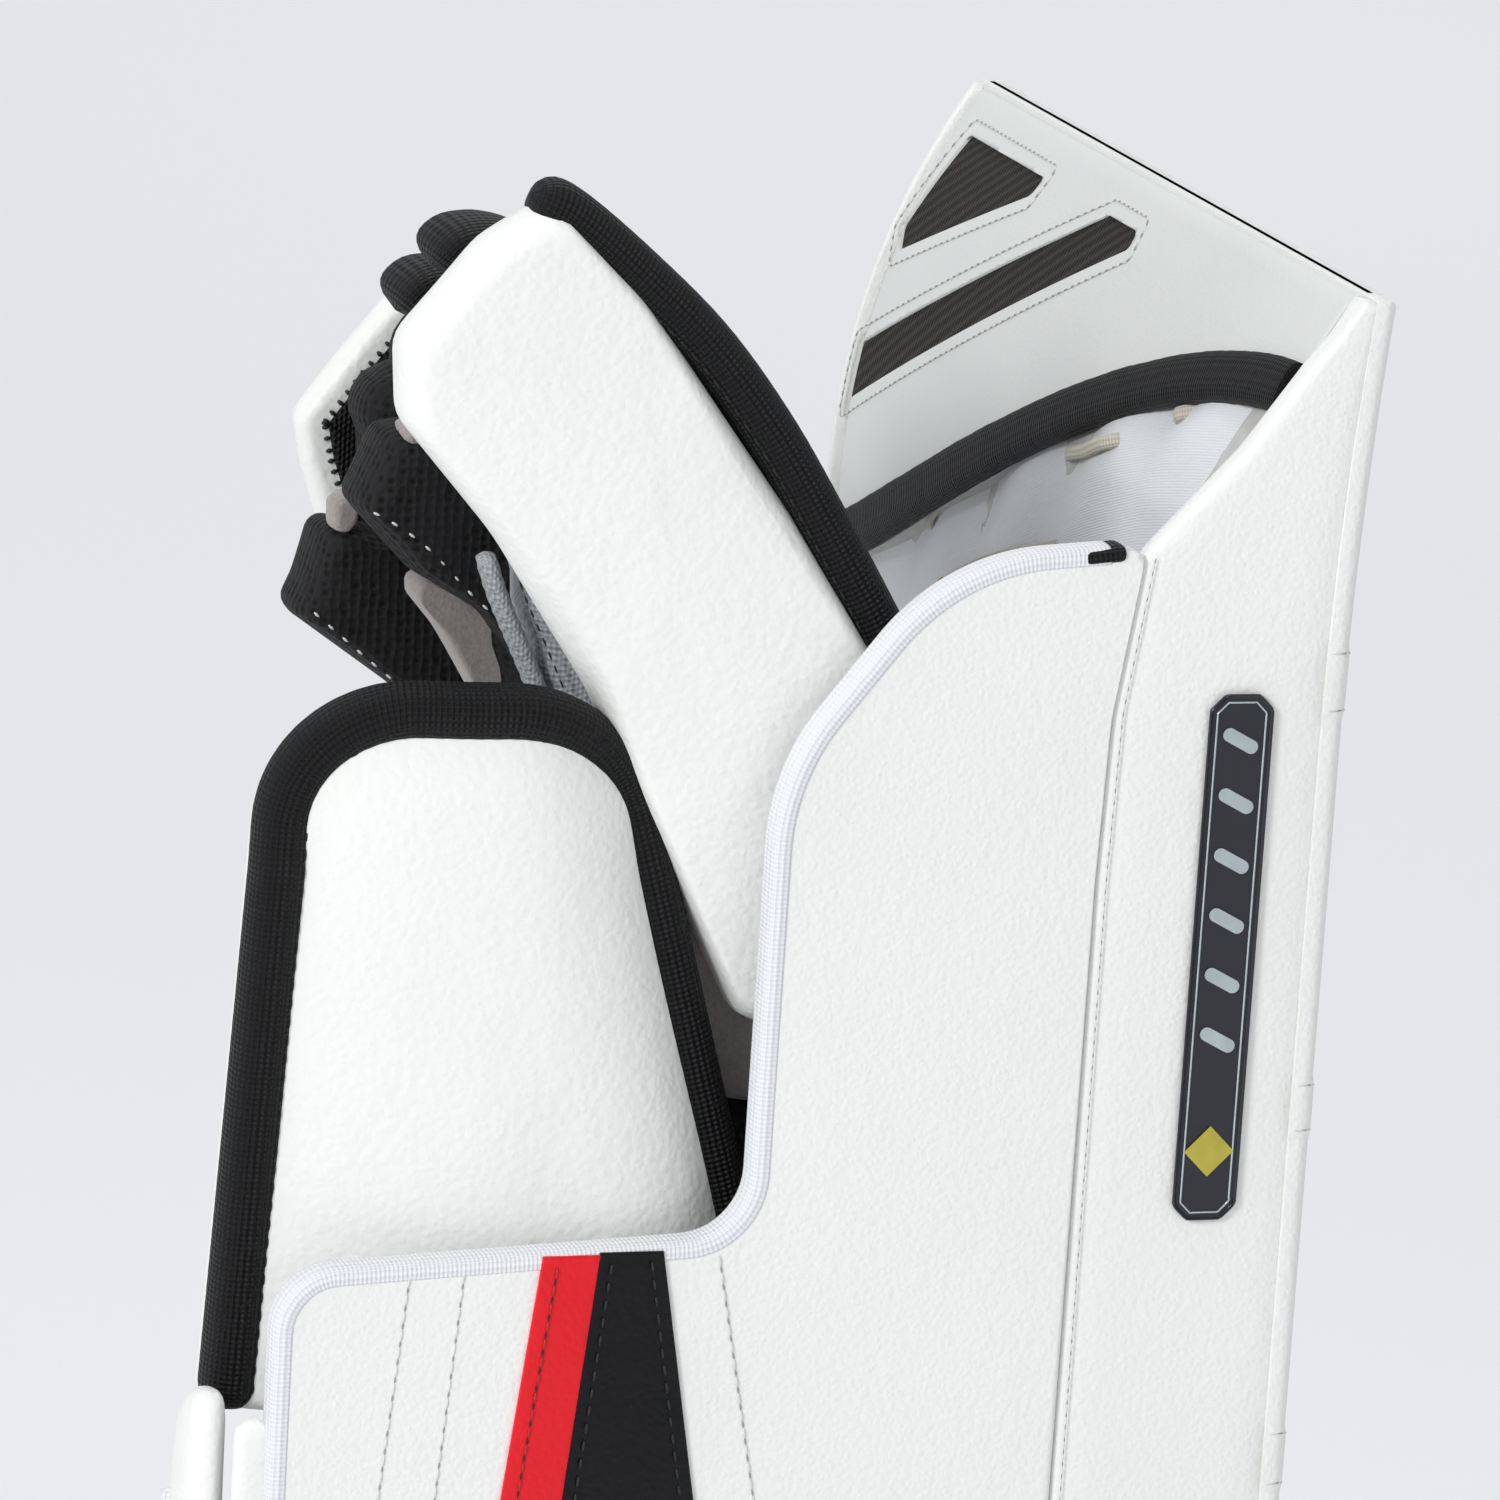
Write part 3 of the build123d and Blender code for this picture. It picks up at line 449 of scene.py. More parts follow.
def sweepRoll(
    name, path, wide, deep, material, body, replaces=(), power=2.4, side=(1, 0, 0), around=18,
    ends=True, ripple=0.0, pitch=3.0,
):
    # A roll or tape along a path; wide is across the path, deep is along the side direction.
    path = [Vector(point) for point in path]
    side = Vector(side).normalized()
    length = pathLength(path)
    count = len(path) - 1

    def place(u, v):
        index = min(round(u * count), count)
        spot = path[index]
        ahead = (path[min(index + 1, count)] - path[max(index - 1, 0)]).normalized()
        out = ahead.cross(side).normalized()
        up = out.cross(ahead).normalized()
        a, b = oval(v * 2 * pi, power)
        run = u * length
        near = min(run, length - run)
        swell = 1.0
        cap = wide / 2
        if ends and near < cap:
            swell = sqrt(max(0.0, 1 - (1 - near / cap) ** 2))
        swell *= 1 + ripple * sin(2 * pi * run / pitch)
        return spot + out * (a * wide / 2 * swell) + up * (b * deep / 2 * swell)

    bm = warpGrid(count, around, place, (length * mm, (wide + deep) * 1.3 * mm), True)
    if not ends:
        bmesh.ops.holes_fill(bm, edges=[edge for edge in bm.edges if edge.is_boundary], sides=0)
        bmesh.ops.recalc_face_normals(bm, faces=bm.faces)
    return addPiece(name, bm, material, body, replaces)


def padRings(edge):
    # How far each ring of a pad stands in from its outline, from the middle to the edge.
    near = [edge * share for share in (2.2, 1.5, 1.0, 0.72, 0.46, 0.26, 0.1, 0.0)]
    return [1.0, 0.8, 0.6, 0.42, 0.28, 0.16], near


def padMesh(outline, centre, front, back, edge, size=0.2):
    # A closed pad from its outline in y and z: a front, a rounded edge and a back.
    centre = Vector(centre)
    shares, near = padRings(edge)
    rings = [("share", value) for value in shares] + [("near", value) for value in near]
    rings = rings + rings[-2::-1]
    count = len(outline) - 1
    last = len(rings) - 1
    half = last // 2

    def place(u, v):
        rim = outline[min(round(u * count), count)]
        index = round(v * last)
        kind, value = rings[index]
        ray = rim - centre
        reach = ray.length
        spot = rim - ray * value if kind == "share" else rim - ray.normalized() * min(value, reach * 0.15)
        inward = reach * value if kind == "share" else min(value, reach * 0.15)
        frontX, backX = front(spot.x, spot.y), back(spot.x, spot.y)
        middle = (frontX + backX) / 2
        surface = frontX if index <= half else backX
        if inward < edge:
            surface = middle + (surface - middle) * sqrt(max(0.0, 1 - (1 - inward / edge) ** 2))
        return (surface, spot.x, spot.y)

    return warpGrid(count, last, place, (size, size), True)


def stitches(name, rows, material, body, length=2.1, pitch=3.0, thick=0.42, holes=None, across=False):
    # Rows of sewn thread: each stitch is a small bead lying along its path, and the shadow in each needle hole
    # is painted as a darker bead between two of them.
    kinds = [(name, material, 0.0, length, thick)]
    if holes:
        kinds.append((name + "_holes", holes, 0.5, pitch - length + 0.35, thick * 0.8))
    for label, color, shift, long, wide in kinds:
        spots, faces = [], []
        for path, normal in rows:
            path = [Vector(point) for point in path]
            count = max(1, int(pathLength(path) / pitch))
            for number in range(count):
                share = (number + 0.5 + shift) / count
                spot = along(path, share)
                ahead = (along(path, share + 0.25 / count) - along(path, share - 0.25 / count)).normalized()
                up = Vector(normal(spot) if callable(normal) else normal)
                up = (up - ahead * up.dot(ahead)).normalized()
                if across:
                    ahead = up.cross(ahead)
                turn = Matrix((ahead, up.cross(ahead), up)).transposed().to_4x4()
                shape = Matrix.Diagonal((long / 2, wide / 2, wide * 0.45, 1))
                matrix = Matrix.Translation(spot * mm) @ turn @ Matrix.Scale(mm, 4) @ shape
                first = len(spots)
                spots.extend(matrix @ vert.co for vert in bead.vertices)
                faces.extend([first + index for index in face.vertices] for face in bead.polygons)
        mesh = bpy.data.meshes.new(label)
        mesh.from_pydata(spots, [], faces)
        bm = bmesh.new()
        bm.from_mesh(mesh)
        bpy.data.meshes.remove(mesh)
        addPiece(label, bm, color, body)


def makeBead():
    bm = bmesh.new()
    bmesh.ops.create_uvsphere(bm, u_segments=6, v_segments=5, radius=1.0)
    mesh = bpy.data.meshes.new("bead")
    bm.to_mesh(mesh)
    bm.free()
    return mesh


bead = makeBead()


def finishMesh(piece, *modifiers):
    # Adds modifiers and keeps their result as the piece's own mesh.
    for kind, settings in modifiers:
        modifier = piece.modifiers.new(kind.lower(), kind)
        for key, value in settings.items():
            setattr(modifier, key, value)
    result = bpy.data.meshes.new_from_object(piece.evaluated_get(bpy.context.evaluated_depsgraph_get()))
    piece.modifiers.clear()
    piece.data = result
    return piece


def frontY(z):
    # The blocking face: straight, then flaring forward near the top.
    flare = {"start": boardTop - 81.0, "radius": 822.0}
    over = max(0.0, z - flare["start"])
    return -flare["radius"] + sqrt(flare["radius"] ** 2 - over ** 2)


def backY(z):
    # The board's back: straight, then bevelled forward to the top edge.
    bevel = {"depth": 26.0, "start": boardTop - 76.0, "radius": 132.33}
    over = max(0.0, z - bevel["start"])
    return bevel["depth"] - bevel["radius"] + sqrt(bevel["radius"] ** 2 - over ** 2)


def rimZ(x):
    # Height of the rim's upper line across the board.
    knots = [(-95.5, 369.0), (-36.0, 356.0), (38.0, 324.0), (99.5, 297.0)]
    total = 0.0
    for index, (knot, height) in enumerate(knots):
        weight = 1.0
        for other, (spot, _) in enumerate(knots):
            if other != index:
                weight *= (x - spot) / (knot - spot)
        total += height * weight
    return total


# Camera, light and floor.

viewpoint = {
    "place": (-1.6246, 0.6214, 0.6965), "target": (-0.060, 0.0923, 0.2939), "roll": 3.775, "lens": 238.7,
}


def addCamera():
    camera = bpy.data.cameras.new("camera")
    camera.lens = viewpoint["lens"]
    camera.sensor_width = 36
    camera.clip_end = 20
    holder = bpy.data.objects.new("camera", camera)
    back = Vector(viewpoint["place"]) - Vector(viewpoint["target"])
    turn = back.to_track_quat("Z", "Y") @ Quaternion((0, 0, 1), radians(viewpoint["roll"]))
    holder.location = viewpoint["place"]
    holder.rotation_mode = "QUATERNION"
    holder.rotation_quaternion = turn
    bpy.context.scene.collection.objects.link(holder)
    bpy.context.scene.camera = holder


def addLight(name, place, target, size, power):
    light = bpy.data.lights.new(name, "AREA")
    light.shape = "DISK"
    light.size = size
    light.energy = power
    holder = bpy.data.objects.new(name, light)
    holder.location = place
    holder.rotation_mode = "QUATERNION"
    holder.rotation_quaternion = (Vector(place) - Vector(target)).to_track_quat("Z", "Y")
    bpy.context.scene.collection.objects.link(holder)


def addStudio():
    world = bpy.data.worlds.new("studio")
    bpy.context.scene.world = world
    world.use_nodes = True
    sky = world.node_tree.nodes["Background"]
    sky.inputs["Color"].default_value = (0.95, 0.97, 1.0, 1)
    sky.inputs["Strength"].default_value = 0.53
    middle = (-0.05, 0.09, 0.28)
    addLight("key", (-1.4, 2.0, 1.3), middle, 0.7, 33)
    addLight("fill", (-2.0, -0.3, 1.1), middle, 1.4, 3.5)
    addLight("top", (0.0, 0.3, 2.0), middle, 0.9, 6)
    addLight("backdrop", (2.6, -0.9, 2.3), (2.4, -0.8, 0), 2.6, 21)
    bm = bmesh.new()
    bmesh.ops.create_grid(bm, x_segments=4, y_segments=4, size=6)
    mesh = bpy.data.meshes.new("floor")
    bm.to_mesh(mesh)
    bm.free()
    material, _, _, shader = newMaterial("floor")
    shader.inputs["Base Color"].default_value = (0.9, 0.905, 0.92, 1)
    shader.inputs["Roughness"].default_value = 1.0
    mesh.materials.append(material)
    floor = bpy.data.objects.new("floor", mesh)
    floor.location.z = cadBox[0][2] - 0.0005
    bpy.context.scene.collection.objects.link(floor)
    bpy.context.scene.view_settings.view_transform = "Standard"


addCamera()
addStudio()
print("camera, light and floor set")


# Board face and its sewn bands.

boardFace = {"thick": 4.4, "round": 3.0, "rows": 14}


def makeBoardFace():
    width = boardHigh[0] - boardLow[0]
    bm = bmesh.new()
    bmesh.ops.create_cube(bm, size=1)
    bmesh.ops.scale(bm, vec=(width, boardFace["thick"], boardTop), verts=bm.verts)
    middle = (boardLow[0] + boardHigh[0]) / 2
    bmesh.ops.translate(bm, vec=(middle, boardFace["thick"] / 2, boardTop / 2), verts=bm.verts)
    frontEdges = [edge for edge in bm.edges if all(vert.co.y < 0.1 for vert in edge.verts)]
    bmesh.ops.bevel(
        bm, geom=frontEdges, offset=boardFace["round"], offset_type="OFFSET", segments=6, profile=0.5,
        affect="EDGES", material=-1,
    )
    for row in range(1, boardFace["rows"]):
        height = boardTop - 81.0 + 78.0 * row / boardFace["rows"]
        everything = bm.verts[:] + bm.edges[:] + bm.faces[:]
        bmesh.ops.bisect_plane(bm, geom=everything, plane_co=(0, 0, height), plane_no=(0, 0, 1))
    for vert in bm.verts:
        vert.co.y += frontY(vert.co.z)
    bmesh.ops.scale(bm, vec=(mm, mm, mm), verts=bm.verts)
    for edge in bm.edges:
        edge.smooth = edge.calc_face_angle(0.0) < 0.8
    addPiece("board_face", bm, finish["white_leather"], "root", ["front_cover"])


faceBands = [
    {"name": "face_band_top", "height": 315.0, "width": 14.0, "dip": 9.0},
    {"name": "face_band_middle", "height": 240.0, "width": 12.0, "dip": 14.0},
    {"name": "face_band_low", "height": 177.0, "width": 13.0, "dip": 16.0},
    {"name": "face_band_foot", "height": 82.0, "width": 13.0, "dip": 14.0},
]
bandRise = 0.7


def faceEdge(lift):
    left, right = boardLow[0], boardHigh[0]
    turn = boardFace["round"]
    corners = [
        (left - lift, turn + 1.6), (left - lift, -lift), (right + lift, -lift), (right + lift, turn + 1.6),
    ]
    return roundedPath(corners, [0, turn + lift, turn + lift, 0], False, 1.0)


faceEdges = faceEdge(0), faceEdge(1)


def faceWrap(share, lift):
    # A path across the blocking face that turns back round both side edges.
    near = along(faceEdges[0], share)
    return near + (along(faceEdges[1], share) - near).normalized() * lift


def makeFaceBands():
    rows = []
    for band in faceBands:
        def place(u, v, band=band):
            across = v * 2 - 1
            lift = bandRise * (1 - abs(across) ** 6) - 0.15
            spot = faceWrap(u, max(lift, -0.15))
            bow = 1 - min(1, (spot.x / 101.5) ** 2)
            height = band["height"] - band["dip"] * bow + across * band["width"] / 2
            return (spot.x, spot.y + frontY(height), height)
        bm = warpGrid(
            230, 12, place, (0.21, band["width"] * mm), False, lambda spot: (spot.x * 0.02, -1, 0),
        )
        addPiece(band["name"], bm, finish["white_leather"], "root")
        for side in (-1, 1):
            path = []
            for number in range(216):
                spot = faceWrap(number / 215, bandRise * 0.6)
                bow = 1 - min(1, (spot.x / 101.5) ** 2)
                height = band["height"] - band["dip"] * bow + side * (band["width"] / 2 - 2.0)
                path.append((spot.x, spot.y + frontY(height) - 0.05, height))
            rows.append((path, lambda spot: (0, -1, 0) if abs(spot.x) < 100 else (spot.x, 0, 0)))
    stitches("face_band_stitching", rows, threadWhite, "root", 2.0, 2.9, 0.4, paintedHoleShadow)


makeBoardFace()
makeFaceBands()
print("board face made")


# Thumb-side wall.

sideWall = {"power": 5.0, "front": 3.9}


def seamY(z):
    # The line where the wall meets the shield, and above it the end panel.
    top = boardTop
    knots = [(0, 43.0), (281, 43.0), (310, 42.2), (337, 38.4), (355, 21.5), (370, 10.5), (top - 0.6, 1.2)]
    for (low, first), (high, second) in zip(knots, knots[1:]):
        if z <= high:
            return max(first + (second - first) * (z - low) / (high - low), backY(z) + 0.3)
    return backY(z) + 0.3


def makeWall(name, lowX, highX, far, replaced):
    low, high = 0.2, boardTop - 0.5

    def place(u, v):
        z = low + (high - low) * u
        a, b = oval(v * 2 * pi, sideWall["power"])
        near = frontY(z) + sideWall["front"]
        back = max(far(z), near + 0.6)
        return ((lowX + highX) / 2 - b * (highX - lowX) / 2, (near + back) / 2 + a * (back - near) / 2, z)

    bm = warpGrid(190, 36, place, (0.38, 0.09), True)
    bmesh.ops.holes_fill(bm, edges=[edge for edge in bm.edges if edge.is_boundary], sides=0)
    bmesh.ops.recalc_face_normals(bm, faces=bm.faces)
    addPiece(name, bm, finish["white_leather"], "root", [replaced])


def makeSideWall():
    makeWall("side_wall", outerX, innerX, seamY, "thumb_side_wall")
    makeWall("far_side_wall", panelHigh[0], boardHigh[0], lambda z: backY(z) + 0.2, "pinky_side_wall")
    heights = [3 + 375 * number / 180 for number in range(181)]
    frontRow = [(outerX + 0.25, frontY(z) + sideWall["front"] + 0.2, z) for z in heights]
    seamRow = [(outerX - 0.05, seamY(z) - 1.6, z) for z in heights if z < 337]
    left = (-1, 0, 0)
    stitches(
        "side_wall_stitching", [(frontRow, left), (seamRow, left)], threadWhite, "root",
        1.5, 2.2, 0.35, paintedHoleShadow,
    )


makeSideWall()
print("side wall made")


# Side shield and cuff.

shield = {
    "corners": [(43.2, 0.3), (43.2, 338), (72, 336), (100, 300), (100, 219), (182, 215), (180, 0.3)],
    "radii": [1.5, 1.5, 38, 38, 12, 10, 1.5],
    "middle": (76, 170),
    "skin": 2.4,
}


def insetSteps(path, inset):
    # Each point of an open path with the step that moves it in from its outer side.
    last = len(path) - 1
    result = []
    for index, spot in enumerate(path):
        ahead = (path[min(index + 1, last)] - path[max(index - 1, 0)]).normalized()
        result.append((spot, Vector((-ahead.y, ahead.x)) * inset))
    return result


def makeShield():
    outline = roundedPath(shield["corners"], shield["radii"], True)
    for spot in outline:
        if spot.x < 60:
            spot.x -= (43.2 - min(43.2, seamY(spot.y) + 0.1)) * max(0.0, 1 - (spot.x - 43.2) / 16)
    split = outerX + shield["skin"]

    def front(y, z):
        return outerX - 0.25 * noise.noise((y * 0.02, z * 0.012, 3.1))

    bm = padMesh(outline, shield["middle"], front, lambda y, z: split, 1.4, 0.3)
    addPiece(
        "shield_cover", bm, finish["white_leather"], "root",
        ["side_shield_cover", "side_shield_core"],
    )
    bm = padMesh(outline, shield["middle"], lambda y, z: split, lambda y, z: innerX + 0.1, 1.2, 0.3)
    addPiece("shield_lining", bm, finish["white_nylon"], "root", ["side_shield_lining"])
    edge = roundedPath(shield["corners"][1:], [0] + shield["radii"][2:6] + [0], False, 1.6)
    middle = (outerX + innerX) / 2
    path = [(middle, spot.x - shift.x, spot.y - shift.y) for spot, shift in insetSteps(edge, 0.9)]
    tab = [(middle, 50 - number * 0.5, 336.7 + number * 0.05) for number in range(18)]
    sweepRoll(
        "shield_tape_end", tab, 3.0, 7.4, finish["black_binding"], "root", (), 3.0,
        (1, 0, 0), 16,
    )
    sweepRoll(
        "shield_edge_tape", path, 3.8, 6.7, finish["white_binding"], "root",
        ["shield_binding"], 3.4, (1, 0, 0), 20, True,
    )


def cuffLine(top, foot):
    # A straight row down the cuff between two depths, top edge to foot.
    topZ = 217.5 - (top - 100) * 0.035
    return [
        (outerX - 0.1, top + (foot - top) * number / 100, topZ + (3 - topZ) * number / 100)
        for number in range(101)
    ]


def lifted(path, lift):
    return [(x - lift, y, z) for x, y, z in path]


stripes = [
    {"node": "red_stripe", "near": (127, 148), "far": (137, 162), "rise": 0.9},
    {"node": "black_stripe", "near": (116, 76), "far": (127, 148), "rise": 0.8},
]


def makeStripes():
    for stripe in stripes:
        def place(u, v, stripe=stripe):
            z = 0.3 + 218.2 * u
            share = 1 - z / 219
            near = stripe["near"][0] + (stripe["near"][1] - stripe["near"][0]) * share
            far = stripe["far"][0] + (stripe["far"][1] - stripe["far"][0]) * share
            a, b = oval(v * 2 * pi, 7.0)
            dimple = 0.12 * noise.noise((z * 0.16, v * 5, 0.8)) * (1 if b > 0 else 0)
            x = outerX + 0.1 - (b * 0.5 + 0.5) * (stripe["rise"] + 0.1) - dimple
            return (x, (near + far) / 2 + a * (far - near) / 2, z - 0.035 * (near - 100) * u)

        bm = warpGrid(150, 32, place, (0.22, 0.05), True)
        bmesh.ops.holes_fill(bm, edges=[edge for edge in bm.edges if edge.is_boundary], sides=0)
        bmesh.ops.recalc_face_normals(bm, faces=bm.faces)
        slot = stripe["node"].replace("stripe", "leather")
        addPiece(stripe["node"] + "_leather", bm, finish[slot], "root", [stripe["node"]])


def makeCuffStitching():
    left = (-1, 0, 0)
    white = [cuffLine(160, 178), cuffLine(150.5, 166), cuffLine(106, 62)]
    stitches(
        "cuff_stitching_white", [(row, left) for row in white], threadWhite, "root", 2.2,
        3.1, 0.5, paintedHoleShadow,
    )
    rise = 0.95
    # The red row's needle holes are beads of painted shadow in the black thread material.
    stitches(
        "cuff_stitching_red", [(lifted(cuffLine(134.5, 159.0), rise), left)], threadRed, "root",
        2.2, 3.1, 0.5, blackThreadAndHoleShadow,
    )
    black = [lifted(cuffLine(125, 145.5), rise), lifted(cuffLine(118.2, 79), rise)]
    stitches(
        "cuff_stitching_black", [(row, left) for row in black], blackThreadAndHoleShadow, "root", 2.2,
        3.1, 0.55,
    )


makeStripes()
makeShield()
makeCuffStitching()


def makeBadgeEdge():
    low, high = boxMm("badge_plate")
    cut = 2.5
    corners = []
    for y, z, first in (
        (low[1], low[2], 0), (high[1], low[2], 1), (high[1], high[2], 0), (low[1], high[2], 1),
    ):
        inY, inZ = (cut if y == low[1] else -cut), (cut if z == low[2] else -cut)
        pair = [(y, z + inZ), (y + inY, z)]
        corners += pair[::-1] if first else pair
    ring = roundedPath(corners, [0.6] * 8, True, 0.8)
    for name, inset, wide, material in (
        ("badge_edge", 0.0, 0.7, "badge_black"), ("badge_trim", 1.1, 0.45, "badge_silver"),
    ):
        path = [(low[0] - 0.05, spot.x, spot.y) for spot in insetRing(ring, inset)]
        sweepRoll(name, path, wide, 0.6, finish[material], "root", (), 2.2, (1, 0, 0), 8, False)


makeBadgeEdge()
print("shield and cuff made")


# End panel, vents, rim, liner and lace.

endPanel = {"thick": 2.0, "side": 9.0}


def backNormal(z):
    slope = (backY(z + 0.5) - backY(z - 0.5))
    return Vector((0, 1, -slope)).normalized()


def windowShapes():
    right = boardHigh[0]
    upper = [(-13.5, -8), (-55, -8), (-54, -11.5), (-8.5, -31), (-5.5, -27)]
    lower = [(-89.5, -8), (-104.5, -8), (-105.5, -11), (-5.5, -60), (-5.5, -49)]
    return [[Vector((right + x, boardTop + z)) for x, z in shape] for shape in (upper, lower)]


def makeEndPanel():
    left, right = panelLow[0], boardHigh[0]
    topLine = boardTop - 0.6

    def place(u, v):
        x = left + (right - left) * u
        low = rimZ(min(x, 99.5)) - 2
        z = low + (topLine - low) * v
        y = backY(z)
        edge = right - x
        turn = endPanel["side"]
        if edge < turn:
            y -= (turn - sqrt(turn ** 2 - (turn - edge) ** 2)) * min(1, (y + 3) / 20)
        crest = topLine - z
        if crest < 2.5:
            y -= 2.5 - sqrt(2.5 ** 2 - (2.5 - crest) ** 2)
        return (x, y, z)

    bm = warpGrid(130, 70, place, (0.2, 0.08), False, lambda spot: (0, 1, 0))
    piece = addPiece(
        "end_panel_leather", bm, finish["smooth_leather"], "root", ["end_panel"],
    )
    cutters = []
    for number, corners in enumerate(windowShapes()):
        cutter = bmesh.new()
        verts = [cutter.verts.new((corner.x * mm, -0.02, corner.y * mm)) for corner in corners]
        cutter.faces.new(verts)
        bmesh.ops.bevel(
            cutter, geom=cutter.verts[:], offset=0.0012, offset_type="OFFSET", segments=4, profile=0.5,
            affect="VERTICES", material=-1,
        )
        solid = bmesh.ops.extrude_face_region(cutter, geom=cutter.faces[:])
        moved = [item for item in solid["geom"] if isinstance(item, bmesh.types.BMVert)]
        bmesh.ops.translate(cutter, vec=(0, 0.08, 0), verts=moved)
        bmesh.ops.recalc_face_normals(cutter, faces=cutter.faces)
        mesh = bpy.data.meshes.new(f"cutter{number}")
        cutter.to_mesh(mesh)
        cutter.free()
        holder = bpy.data.objects.new(f"cutter{number}", mesh)
        bpy.context.scene.collection.objects.link(holder)
        cutters.append(holder)
    steps = [("SOLIDIFY", {"thickness": endPanel["thick"] * mm, "offset": -1.0})]
    steps += [
        ("BOOLEAN", {"object": cutter, "operation": "DIFFERENCE", "solver": "EXACT"})
        for cutter in cutters
    ]
    finishMesh(piece, *steps)
    for cutter in cutters:
        bpy.data.objects.remove(cutter, do_unlink=True)
    for polygon in piece.data.polygons:
        polygon.use_smooth = abs(polygon.normal.y) > 0.2 or polygon.area > 1e-5


def makePanelCrest():
    # Over the top the leather runs forward to meet the blocking face.
    near, far = -1.6, backY(boardTop - 0.6) - 1.0
    ends = [Vector((x, (near + far) / 2, boardTop - 1.5)) for x in (panelLow[0] + 0.5, boardHigh[0] - 1.5)]
    path = evenly(ends, 2.0)
    sweepRoll(
        "end_panel_crest", path, far - near, 2.0, finish["smooth_leather"], "root", (),
        4.0, (0, 0, 1), 24, False,
    )


def onPanel(x, z, lift):
    spot = Vector((x, backY(z), z)) + backNormal(z) * lift
    return spot


def makeWindowStitching():
    rows = []
    for corners in windowShapes():
        middle = sum(corners, Vector((0, 0))) / len(corners)
        grown = []
        for index, corner in enumerate(corners):
            before = (corner - corners[index - 1]).normalized()
            after = (corners[(index + 1) % len(corners)] - corner).normalized()
            first, second = Vector((-before.y, before.x)), Vector((-after.y, after.x))
            if first.dot(corner - middle) < 0:
                first, second = -first, -second
            push = (first + second).normalized()
            grown.append(corner + push * 2.6 / max(0.45, push.dot(first)))
        ring = roundedPath([(spot.x, spot.y) for spot in grown], [2.0, 2.0, 1.2, 1.2, 1.6], True, 1.0)
        ring = [spot for spot in ring if spot.x < boardHigh[0] - 1.5]
        rows.append(([onPanel(spot.x, spot.y, 0.12) for spot in ring], lambda spot: backNormal(spot.z)))
    stitches("vent_stitching", rows, threadWhite, "root", 1.5, 2.3, 0.5, paintedHoleShadow)


rim = {"wide": 9.4, "deep": 4.8, "drop": 4.6}


def makeRim():
    path = []
    for number in range(111):
        x = panelLow[0] + 0.5 + (boardHigh[0] - 2.5 - panelLow[0]) * number / 110
        z = rimZ(min(x, 99.5)) - rim["drop"]
        path.append(onPanel(x, z, 0.2))

    def place(u, v):
        index = min(round(u * 110), 110)
        spot = path[index]
        ahead = (path[min(index + 1, 110)] - path[max(index - 1, 0)]).normalized()
        up = backNormal(spot.z)
        out = ahead.cross(up).normalized()
        a, b = oval(v * 2 * pi, 2.8)
        run = u * 215
        size = 1 + 0.008 * sin(2 * pi * run / 3.2) + 0.03 * noise.noise((run * 0.12, 0.5, 2))
        return spot + out * (a * rim["wide"] / 2 * size) + up * (b * rim["deep"] / 2 * size)

    bm = warpGrid(110, 22, place, (0.215, 0.024), True)
    bmesh.ops.holes_fill(bm, edges=[edge for edge in bm.edges if edge.is_boundary], sides=0)
    bmesh.ops.recalc_face_normals(bm, faces=bm.faces)
    addPiece("rim_roll", bm, finish["black_binding"], "root", ["rim_binding"])
    row = [onPanel(spot.x, spot.z - 2.2, rim["deep"] * 0.44) for spot in path[1:-1]]
    stitches(
        "rim_stitching", [(row, lambda spot: backNormal(spot.z))], blackThreadAndHoleShadow, "root",
        2.0, 3.0, 0.4,
    )


liner = {"depth": 20.6, "folds": 1.9}


def linerY(x, z):
    base = min(liner["depth"], backY(z) - 1.6)
    below = max(0.0, rimZ(min(x, 99.5)) - 9 - z)
    pull = liner["folds"] * sin((x + 0.55 * z) * 0.21) * max(0.0, 1 - below / 42)
    billow = 0.9 * noise.noise((x * 0.05, z * 0.03, 1.7))
    return base + 0.3 + pull * 0.6 + billow


def makeLiner():
    left, right = panelLow[0], panelHigh[0]

    def place(u, v):
        x = left + (right - left) * u
        high = rimZ(x) - 5.5
        z = 2.2 + (high - 2.2) * v
        return (x, linerY(x, z), z)

    bm = warpGrid(120, 170, place, (0.2, 0.34), False, lambda spot: (0, 1, 0))
    piece = addPiece("liner_cloth", bm, finish["white_nylon"], "root", ["back_liner"])
    finishMesh(piece, ("SOLIDIFY", {"thickness": 0.0006, "offset": -1.0}))


laceOver = {"lift": 1.0, "wide": 2.7, "flat": 1.7}
lacePoints = [
    (-62, 0, -27), (-56, 1, -29.5), (-50, 0, -33), (-39, 0, -37), (-33, 1, -39.5), (-24, 1, -43), (-13, 1, -46),
    (-8, 0, -48), (20, 0, -57), (29, 0, -60), (35, 1, -62), (44, 1, -67), (53, 1, -73), (58, 0, -76),
    (70, 0, -78), (76, 1, -80), (85, 1, -84.5), (90, 0, -88),
]
tailPoints = [(-16, 0, -61), (-8, 1, -64.5), (12.4, 1, -70.6), (32, 1, -77.6), (45.5, 1, -84.2)]


def laceLine(points):
    line = []
    for x, over, drop in points:
        z = boardTop + drop
        y = linerY(x, z) + laceOver["lift"] if over else linerY(x, z) - 3.5
        line.append((x, y, z))
    return smoothPath(line, 0.8)


def makeLace():
    for name, points, replaces in (("rim_lacing", lacePoints, ["rim_lace"]), ("lace_end", tailPoints, ())):
        path = laceLine(points)
        sweepRoll(
            name, path, laceOver["wide"], laceOver["flat"], finish["lace"], "root", replaces, 2.6,
            (0, 1, 0), 14,
        )
    path = laceLine(tailPoints)
    tip = path[-6:]
    sweepRoll(
        "lace_melted_tip", tip, laceOver["wide"] + 0.5, laceOver["flat"] + 0.6, meltedTip, "root",
        (), 2.4, (0, 1, 0), 14,
    )


